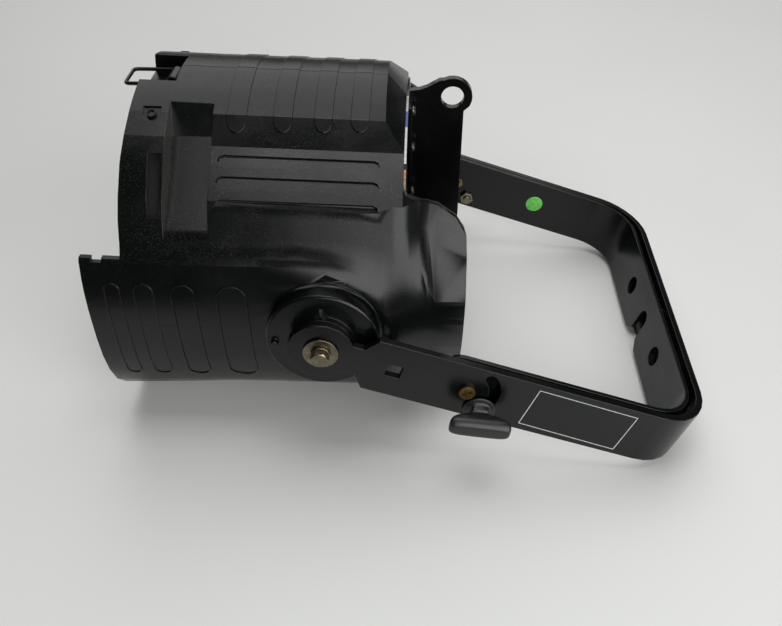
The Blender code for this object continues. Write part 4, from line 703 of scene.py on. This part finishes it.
def roof_bands(shell, side):
    """The four raised bands over the roof, with round lower ends on the facet."""
    # The stretch of roof that holds them, and the middle of each outline, which lies past the seam
    field_front, field_back, field_side, field_foot = -0.1195, -0.0200, 0.0575, 0.18
    middle, roof, seam_gap = -0.02, 0.19, 0.0002
    posts = []
    for front, back, reach in BANDS:
        post = stadium("post", (0.0, 0.0, 0.0), (back - front) / 2, reach - middle, depth=0.12, steps=10)
        post.rotation_euler = (math.radians(90), 0.0, 0.0)
        post.location = ((front + back) / 2, side * middle, roof)
        posts.append(settle(post, "post"))
    cutter = joined("band_plan", *posts)
    slab = skin_slab(
        shell,
        ((AHEAD, field_front), (BEHIND, field_back), ((0.0, side, 0.0), side * field_side)),
        lambda centre, normal: normal.z > 0.3 and centre.z > field_foot,
        outward=sizes().band_height,
        inward=0.0006,
    )
    combine(slab, cutter, "INTERSECT")
    # Only what lies on this side of the seam is kept
    wide, low, high = 0.2, 0.1, 0.3
    inner, outer = sorted((seam_gap * side, wide * side))
    combine(slab, block("own_side", (-wide, inner, low), (wide, outer, high)), "INTERSECT")
    return slab


def pod_beads(shell, side):
    """The beads round the four long round-ended panels of the pod."""
    # The stretch of the pod that holds them, where its side stands, and half the width of a bead
    field_front, field_back, field_foot, field_top = -0.1985, -0.0930, 0.0400, 0.1400
    pod_face, bead = 0.11, 0.0006
    rings = []
    for x, half_width, z, half_length in PANELS:
        centre = (x, side * pod_face, z)
        ring = stadium("ring", centre, half_width + bead, half_length + bead, depth=0.05)
        hole = stadium("hole", centre, half_width - bead, half_length - bead, depth=0.06)
        combine(ring, hole, "DIFFERENCE")
        rings.append(ring)
    plan = joined("bead_plan", *rings)
    slab = skin_slab(
        shell,
        ((AHEAD, field_front), (BEHIND, field_back), (DOWN, field_foot), (UP, field_top)),
        lambda centre, normal: normal.y * side > 0.3,
        outward=sizes().bead_height,
        inward=0.0008,
    )
    combine(slab, plan, "INTERSECT")
    return slab


class WASHLIGHT_OT_housing(bpy.types.Operator):
    """The two die-cast shells with their raised bands and beads, and the foot"""

    bl_idname = "washlight.housing"
    bl_label = "Housing"

    def execute(self, context):
        for name, side in SIDES.items():
            shell = fine_copy(f"{name}_shell", f"{name}_shell_fine")
            bands = roof_bands(shell, side)
            soften(bands, PLATE_ROUND, angle=14.0)
            bands.name = f"{name}_roof_bands"
            wear(bands, "casting coat", "housing", "housing_casting")
            beads = pod_beads(shell, side)
            soften(beads, SMALL_ROUND, clamp=False)
            beads.name = f"{name}_pod_beads"
            wear(beads, "casting coat", "housing", "housing_casting")
            soften(shell, sizes().casting_round, angle=46.0, clamp=False)
            self.shade(shell)
            wear(shell, "casting coat", "housing", "housing_casting", f"{name}_shell")
        dress("bottom_foot", "soft rubber", "rubber", PLATE_ROUND)
        return {"FINISHED"}

    def shade(self, shell):
        """Smooth shading with the roof's and the pod's creases kept and the ramp and ear blended."""
        smooth(shell, 15.0)
        fade(shell, lambda point: point.z < BLEND_TOP and point.x > BLEND_FRONT, 50.0)
        for line in (SHOULDER_LINE, BEND_LINE, EDGE_LINE):
            crease(shell, lambda point: point.z > ROOF_FOOT and abs(abs(point.y) - line) < CREASE_REACH)
        crease(
            shell,
            lambda point: point.x < POD_CREASE_BACK
            and abs(point.y) > POD_CREASE_INSIDE
            and POD_CREASE_LOW < point.z < POD_CREASE_HIGH,
        )


# The front


class WASHLIGHT_OT_front(bpy.types.Operator):
    """The accessory guide, the lens bezel, the wire clip, the collar's screws and the near-black plates that
    paint shade into the vent slots
    """

    bl_idname = "washlight.front"
    bl_label = "Front"

    def execute(self, context):
        for node in ("accessory_guide", "lens_bezel"):
            dress(node, "casting coat", "housing_casting", MOULDING_ROUND)
        wire = fine_copy("clip_wire", "clip_wire_fine")
        smooth(wire, 60.0)
        wear(wire, "strap coat", "clip", "zinc_steel", "clip_wire")
        dress("clip_mount", "moulded plastic", "black_plastic", MOULDING_ROUND)
        lean = math.radians(26.0)
        for name, side in SIDES.items():
            screw = fine_copy(f"housing_screw_{name}", f"housing_screw_{name}_fine")
            socket_recess(screw, (0.0, side * math.sin(lean), math.cos(lean)), radius=0.0021, depth=0.0012)
            soften(screw, SMALL_ROUND)
            wear(screw, "strap coat", "housing", "zinc_steel", f"housing_screw_{name}")
        for name, side in SIDES.items():
            self.add_vent_shade_plate(name, side)
        return {"FINISHED"}

    def add_vent_shade_plate(self, name, side):
        """A near-black plate behind the vent slot, put there as painted shade to darken the slot."""
        front, back, half_thick, half_long = -0.1596, -0.1486, 0.0004, 0.0205
        slope, out, up = math.radians(38.3), 0.0757, 0.1804
        shade_plate = block(
            f"vent_shade_plate_{name}", (front, -half_thick, -half_long), (back, half_thick, half_long),
        )
        shade_plate.rotation_euler = (side * slope, 0.0, 0.0)
        shade_plate.location = (0.0, side * out, up)
        settle(shade_plate, f"vent_shade_plate_{name}")
        soften(shade_plate, half_thick / 4)
        # The near-black plate is painted shade inside the vent slot
        wear(shade_plate, "painted shade black", "housing", "black_plastic")


class WASHLIGHT_OT_optics(bpy.types.Operator):
    """The lens, its gasket, the collimators and the board with the emitters"""

    bl_idname = "washlight.optics"
    bl_label = "Optics"

    def execute(self, context):
        for node, coat, slot in (
            ("front_lens", "acrylic lens", "clear_lens"),
            ("lens_gasket", "soft rubber", "rubber"),
            ("optic_array", "acrylic lens", "clear_lens"),
            ("led_board", "board", "circuit_board"),
        ):
            dress(node, coat, slot)
        return {"FINISHED"}


class WASHLIGHT_OT_inside(bpy.types.Operator):
    """The heat sink, fan, chassis, driver and boards inside the housing"""

    bl_idname = "washlight.inside"
    bl_label = "Inside"

    def execute(self, context):
        for node, coat, slot in (
            ("heat_sink", "mill aluminium", "bare_aluminium"),
            ("fan_frame", "moulded plastic", "black_plastic"),
            ("fan_rotor", "moulded plastic", "black_plastic"),
            ("chassis", "zinc plate", "zinc_steel"),
            ("driver_tray", "zinc plate", "zinc_steel"),
            ("driver_board", "board", "circuit_board"),
            ("control_board", "board", "circuit_board"),
        ):
            dress(node, coat, slot)
        return {"FINISHED"}


# The back


class WASHLIGHT_OT_back(bpy.types.Operator):
    """The rear panel with its display, buttons, sockets and labels, and the bracket with the hanging eye"""

    bl_idname = "washlight.back"
    bl_label = "Back"

    def execute(self, context):
        for node, coat, slot, radius in (
            ("rear_panel", "strap coat", "black_paint", PLATE_ROUND),
            ("rear_bracket", "bracket coat", "black_paint", THICK_ROUND),
            ("display_window", "smoked acrylic", "smoked_window", SMALL_ROUND),
        ):
            dress(node, coat, slot, radius)
        for node in ("power_inlet", "power_outlet", "data_in_socket", "data_out_socket"):
            dress(node, "moulded plastic", "black_plastic", MOULDING_ROUND)
        for number in (1, 2, 3):
            screw = fine_copy(f"bracket_screw_{number}", f"bracket_screw_{number}_fine")
            cross_recess(screw, BEHIND, span=0.0021, depth=0.0009)
            soften(screw, SMALL_ROUND)
            wear(screw, "zinc plate", "housing", "zinc_steel", f"bracket_screw_{number}")
        self.add_rim_labels()
        for name in ("menu", "up", "down", "enter"):
            dress(f"button_{name}", "moulded plastic", "black_plastic", PLATE_ROUND)
        return {"FINISHED"}

    def add_rim_labels(self):
        """The plain colour patches along the rim of the rear panel, and a bare strip of it.

        A patch runs from near to far across the light, and keeps inside the rim's front and back.
        """
        rim_front, rim_back, rim_foot = -0.0056, -0.0031, 0.165
        patches = (
            ("white_patch_1", "white film", 0.0060, -0.0150),
            ("blue_patch", "blue film", -0.0152, -0.0315),
            ("white_patch_2", "white film", -0.0317, -0.0600),
            ("amber_patch", "amber film", -0.0632, -0.0675),
            ("bare_strip", "zinc plate", -0.0677, -0.0760),
        )
        for name, coat, near, far in patches:
            panel = fine_copy("rear_panel", name)
            patch = skin_slab(
                panel,
                ((AHEAD, rim_front), (BEHIND, rim_back), (RIGHT, near), (LEFT, far), (DOWN, rim_foot)),
                lambda centre, normal: abs(normal.x) < 0.7 and normal.z - normal.y > 0.4,
                outward=0.00015,
                inward=0.0001,
            )
            bpy.data.objects.remove(panel)
            patch.name = name
            smooth(patch, 30.0)
            wear(patch, coat, "housing", "black_paint")


# The pivots


class WASHLIGHT_OT_pivots(bpy.types.Operator):
    """The stepped tilt bosses and the bolts, washers and nuts of the tilt pivot"""

    bl_idname = "washlight.pivots"
    bl_label = "Pivots"

    def execute(self, context):
        for name, side in SIDES.items():
            dress(f"tilt_boss_{name}", "strap coat", "black_paint", MOULDING_ROUND, clamp=False)
            self.add_hub_rib(name, side)
            for part in ("pivot_washer", "pivot_spring_washer", "pivot_bolt", "pivot_nut"):
                node = f"{part}_{name}"
                piece = fine_copy(node, f"{node}_fine")
                if part == "pivot_bolt":
                    chamfered_head(piece, (0.0, side, 0.0), radius=0.0047)
                soften(piece, SMALL_ROUND)
                wear(piece, "zinc plate", frame_body(node), "zinc_steel", node)
        return {"FINISHED"}

    def add_hub_rib(self, name, side):
        """The small rib on the disc above the hub that marks the level position.

        Its foot lies in the disc and its crown ends below the hub's face, both measured from the pivot.
        """
        disc, crest, hub = 0.1224, 0.1262, 0.0185
        foot = ((-0.0052, hub), (0.0060, hub), (0.0018, 0.0262), (-0.0010, 0.0262))
        crown = ((-0.0026, hub), (0.0034, hub), (0.0009, 0.0236), (-0.0001, 0.0236))
        rings = []
        for corners, out in ((foot, disc), (crown, crest)):
            rings.append([Vector((PIVOT.x + x, side * out, PIVOT.z + z)) for x, z in corners])
        rib = lofted(f"hub_rib_{name}", rings)
        soften(rib, SMALL_ROUND)
        wear(rib, "strap coat", "housing", "black_paint")


# The yokes


def strap_point(along, up, y):
    """A point on the yoke's arm, measured along it from the tilt pivot and up across it."""
    forward = Vector((math.cos(REST_ANGLE), 0.0, -math.sin(REST_ANGLE)))
    across = Vector((math.sin(REST_ANGLE), 0.0, math.cos(REST_ANGLE)))
    point = PIVOT + forward * along + across * up
    return Vector((point.x, y, point.z))


class WASHLIGHT_OT_yokes(bpy.types.Operator):
    """The folded yoke and the stand yoke inside it, with their hardware, label outline and sticker"""

    bl_idname = "washlight.yokes"
    bl_label = "Yokes"

    def execute(self, context):
        for node in ("yoke", "stand_yoke"):
            dress(node, "strap coat", "black_paint", sizes().strap_round, clamp=False)
        dress("yoke_bumper", "soft rubber", "rubber", THICK_ROUND)
        for name, side in SIDES.items():
            for part, coat, slot in (
                ("stand_pivot_screw", "yellow zinc plate", "yellow_zinc_steel"),
                ("stand_pivot_nut", "zinc plate", "zinc_steel"),
                ("stand_spacer", "moulded plastic", "black_plastic"),
                ("knob_nut", "zinc plate", "zinc_steel"),
            ):
                node = f"{part}_{name}"
                piece = fine_copy(node, f"{node}_fine")
                if part == "stand_pivot_screw":
                    cross_recess(piece, (0.0, side, 0.0), span=0.0032, depth=0.0018)
                soften(piece, SMALL_ROUND)
                wear(piece, coat, frame_body(node), slot, node)
        self.add_label()
        self.add_sticker()
        return {"FINISHED"}

    def add_label(self):
        """The thin printed line round the bare label on the near arm.

        The corners are measured along and across the arm. The line is a plate less a smaller one.
        """
        arm_face, film, spare = -0.13200, 0.00012, 0.001
        corners = [(0.138, 0.0165), (0.207, 0.0155), (0.206, -0.0170), (0.137, -0.0155)]
        middle = Vector([sum(values) / len(corners) for values in zip(*corners)])
        plates = []
        for inset, more in ((0.0, 0.0), (sizes().label_line, spare)):
            ring = []
            for along, up in corners:
                along -= inset * math.copysign(1.0, along - middle.x)
                up -= inset * math.copysign(1.0, up - middle.y)
                ring.append((along, up))
            faces = (arm_face + more, arm_face - film - more)
            plates.append(lofted("plate", [[strap_point(*corner, y) for corner in ring] for y in faces]))
        combine(plates[0], plates[1], "DIFFERENCE")
        label = settle(plates[0], "label_outline")
        wear(label, "silver ink", "yoke", "black_paint")

    def add_sticker(self):
        """The plain round sticker on the inside of the far arm."""
        centre = strap_point(along=0.1666, up=0.0009, y=0.1228)
        radius = sizes().sticker_radius
        film, edge, worn = 0.00018, 0.00012, 0.0001
        profile = [(0.0, 0.0), (radius, 0.0), (radius, edge), (radius - worn, film), (0.0, film)]
        sticker = turned("round_sticker", profile, centre, LEFT, steps=40)
        smooth(sticker, 40.0)
        wear(sticker, "green film", "stand", "black_paint")


# The knobs


class WASHLIGHT_OT_knobs(bpy.types.Operator):
    """The two winged locking knobs with their studs"""

    bl_idname = "washlight.knobs"
    bl_label = "Knobs"

    def execute(self, context):
        knob = self.add_knob(KNOB_PLACE, turn=math.radians(-7.0))
        stud = self.add_stud(KNOB_PLACE)
        twin_knob = mirrored(knob, "knob_right_fine")
        twin_stud = mirrored(stud, "knob_right_stud")
        smooth(twin_knob, 40.0)
        smooth(twin_stud, 40.0)
        for side, grip, rod in (("left", knob, stud), ("right", twin_knob, twin_stud)):
            wear(grip, "moulded plastic", f"knob_{side}", "black_plastic", f"knob_{side}")
            wear(rod, "zinc plate", f"knob_{side}", "zinc_steel")
        return {"FINISHED"}

    def add_knob(self, place, turn):
        """The left knob: a flange, a neck and a wide flared wing, turned as it was left.

        Each layer has its height over the yoke, half its span and thickness, and how round it is: 1 is
        an ellipse, and less is squarer.
        """
        layers = (
            (0.0000, 0.0108, 0.0108, 1.0),
            (0.0014, 0.0108, 0.0108, 1.0),
            (0.0020, 0.0102, 0.0102, 1.0),
            (0.0022, 0.0056, 0.0058, 0.5),
            (0.0062, 0.0054, 0.0058, 0.35),
            (0.0066, 0.0056, 0.0036, 0.35),
            (0.0080, 0.0084, 0.0040, 0.3),
            (0.0104, 0.0136, 0.0055, 0.3),
            (0.0132, 0.0178, 0.0068, 0.3),
            (0.0160, 0.0197, 0.0074, 0.35),
            (0.0184, 0.0196, 0.0066, 0.45),
            (0.0202, 0.0184, 0.0046, 0.5),
            (0.0208, 0.0165, 0.0028, 0.5),
        )
        base, count = -0.1323, 24
        rings = []
        for height, span, thick, power in layers:
            ring = []
            for step in range(count):
                angle = math.tau * step / count
                a = math.copysign(abs(math.cos(angle)) ** power, math.cos(angle)) * span
                b = math.copysign(abs(math.sin(angle)) ** power, math.sin(angle)) * thick
                x = a * math.cos(turn) - b * math.sin(turn)
                z = a * math.sin(turn) + b * math.cos(turn)
                ring.append(Vector((place.x + x, base - height, place.z + z)))
            rings.append(ring)
        knob = lofted("knob_left_fine", rings)
        modify(knob, "SUBSURF", levels=2, render_levels=2)
        smooth(knob, 40.0)
        return knob

    def add_stud(self, place):
        """The steel stud in the knob's foot, with a chamfered end."""
        radius, tip, chamfer, length, start = 0.003, 0.0022, 0.0156, 0.0164, -0.1340
        profile = [(0.0, 0.0), (radius, 0.0), (radius, chamfer), (tip, length), (0.0, length)]
        stud = turned("knob_left_stud", profile, (place.x, start, place.z), RIGHT, steps=24)
        smooth(stud, 40.0)
        return stud


# The studio


class WASHLIGHT_OT_studio(bpy.types.Operator):
    """The pale floor, the soft lamps and the camera at the photograph's angle"""

    bl_idname = "washlight.studio"
    bl_label = "Studio"

    def execute(self, context):
        self.add_floor()
        self.add_lamps()
        self.add_camera()
        context.scene.view_settings.view_transform = "Standard"
        return {"FINISHED"}

    def add_floor(self):
        """A wide pale sheet with faint clouds, whose front edge lies just outside the picture."""
        width, depth, edge = 8.0, 4.0, -0.265
        bpy.ops.object.select_all(action="DESELECT")
        bpy.ops.mesh.primitive_grid_add(x_subdivisions=8, y_subdivisions=8, size=1.0)
        floor = bpy.context.object
        floor.scale = (width, depth, 1.0)
        floor.location = (0.0, depth / 2 + edge, 0.0)
        settle(floor, "floor")
        material, tree, shader = new_material("pale sheet", Roughness=0.55)
        place = add(tree, "TexCoord").outputs["Object"]
        cloud = add(tree, "TexNoise", {"Vector": place, "Scale": 1 / 0.25, "Detail": 3.0})
        mix = add(
            tree, "Mix",
            {"Factor": cloud.outputs["Fac"], "A": colours().floor, "B": linear("#dddedb")}, data_type="RGBA",
        )
        tree.links.new(mix.outputs["Result"], shader.inputs["Base Color"])
        floor.data.materials.append(material)

    def add_lamps(self):
        """A lamp overhead, a pale ceiling and back wall, a window at the front right and a dark surround."""
        world = bpy.data.worlds.new("surround")
        bpy.context.scene.world = world
        world.use_nodes = True
        background = world.node_tree.nodes["Background"]
        background.inputs["Color"].default_value = linear("#e8ebec")
        background.inputs["Strength"].default_value = 0.05
        for name, place, target, power, width, height in (
            ("roof_lamp", (0.0, -0.20, 1.75), (0.0, -0.20, 0.0), 8.5, 1.0, 0.70),
            ("ceiling_lamp", (0.0, 0.95, 1.85), (0.0, 0.95, 0.0), 17.0, 2.4, 1.5),
            ("window_lamp", (0.80, -1.38, 0.62), (0.0, 0.0, 0.12), 34.0, 2.05, 1.45),
            ("back_lamp", (0.0, 2.0, 1.30), (0.0, 0.0, 0.15), 10.0, 2.4, 1.2),
        ):
            lamp = bpy.data.lights.new(name, "AREA")
            lamp.shape = "RECTANGLE"
            lamp.energy = power
            lamp.size = width
            lamp.size_y = height
            holder = bpy.data.objects.new(name, lamp)
            holder.location = place
            holder.rotation_euler = (Vector(target) - Vector(place)).to_track_quat("-Z", "Y").to_euler()
            bpy.context.scene.collection.objects.link(holder)

    def add_camera(self):
        """The camera at the photograph's place, fitted to the yoke and the housing's edges.

        The photograph is 782 pixels wide and its focal length is given in pixels.
        """
        picture_width, focal_pixels, sensor_width = 782, 842.8, 36.0
        place = (0.0045, -0.5097, 0.4470)
        yaw, pitch, roll = -0.0371, 0.693, 0.0012
        ahead = Vector((math.sin(yaw) * math.cos(pitch), math.cos(yaw) * math.cos(pitch), -math.sin(pitch)))
        right = ahead.cross(Vector((0.0, 0.0, 1.0))).normalized()
        upward = right.cross(ahead)
        level = right * math.cos(roll) + upward * math.sin(roll)
        rise = upward * math.cos(roll) - right * math.sin(roll)
        camera = bpy.data.cameras.new("camera")
        camera.sensor_width = sensor_width
        camera.lens = focal_pixels / picture_width * sensor_width
        holder = bpy.data.objects.new("camera", camera)
        bpy.context.scene.collection.objects.link(holder)
        turn = Matrix((level, rise, -ahead)).transposed().to_4x4()
        turn.translation = place
        holder.matrix_world = turn
        bpy.context.scene.camera = holder


# The add-on


class WASHLIGHT_PT_panel(bpy.types.Panel):
    """The light's pieces, sizes and colours"""

    bl_label = "Wash Light"
    bl_idname = "WASHLIGHT_PT_panel"
    bl_space_type = "VIEW_3D"
    bl_region_type = "UI"
    bl_category = "Wash Light"

    def draw(self, context):
        column = self.layout.column()
        for operator in OPERATORS:
            column.operator(operator.bl_idname)
        for group in (context.scene.wash_light_sizes, context.scene.wash_light_colours):
            for name in group.bl_rna.properties.keys():
                if name not in {"rna_type", "name"}:
                    column.prop(group, name)


OPERATORS = (
    WASHLIGHT_OT_housing,
    WASHLIGHT_OT_front,
    WASHLIGHT_OT_optics,
    WASHLIGHT_OT_inside,
    WASHLIGHT_OT_back,
    WASHLIGHT_OT_pivots,
    WASHLIGHT_OT_yokes,
    WASHLIGHT_OT_knobs,
    WASHLIGHT_OT_studio,
)
CLASSES = (WashLightSizes, WashLightColours, *OPERATORS, WASHLIGHT_PT_panel)


def register():
    """Adds the classes and the scene's settings."""
    for cls in CLASSES:
        bpy.utils.register_class(cls)
    bpy.types.Scene.wash_light_sizes = bpy.props.PointerProperty(type=WashLightSizes)
    bpy.types.Scene.wash_light_colours = bpy.props.PointerProperty(type=WashLightColours)


def unregister():
    """Takes the classes and the scene's settings away again."""
    del bpy.types.Scene.wash_light_colours
    del bpy.types.Scene.wash_light_sizes
    for cls in reversed(CLASSES):
        bpy.utils.unregister_class(cls)


def main():
    """Builds the whole dressed light."""
    register()
    bpy.ops.washlight.housing()
    bpy.ops.washlight.front()
    bpy.ops.washlight.optics()
    bpy.ops.washlight.inside()
    bpy.ops.washlight.back()
    bpy.ops.washlight.pivots()
    bpy.ops.washlight.yokes()
    bpy.ops.washlight.knobs()
    bpy.ops.washlight.studio()


if __name__ == "__main__":
    main()
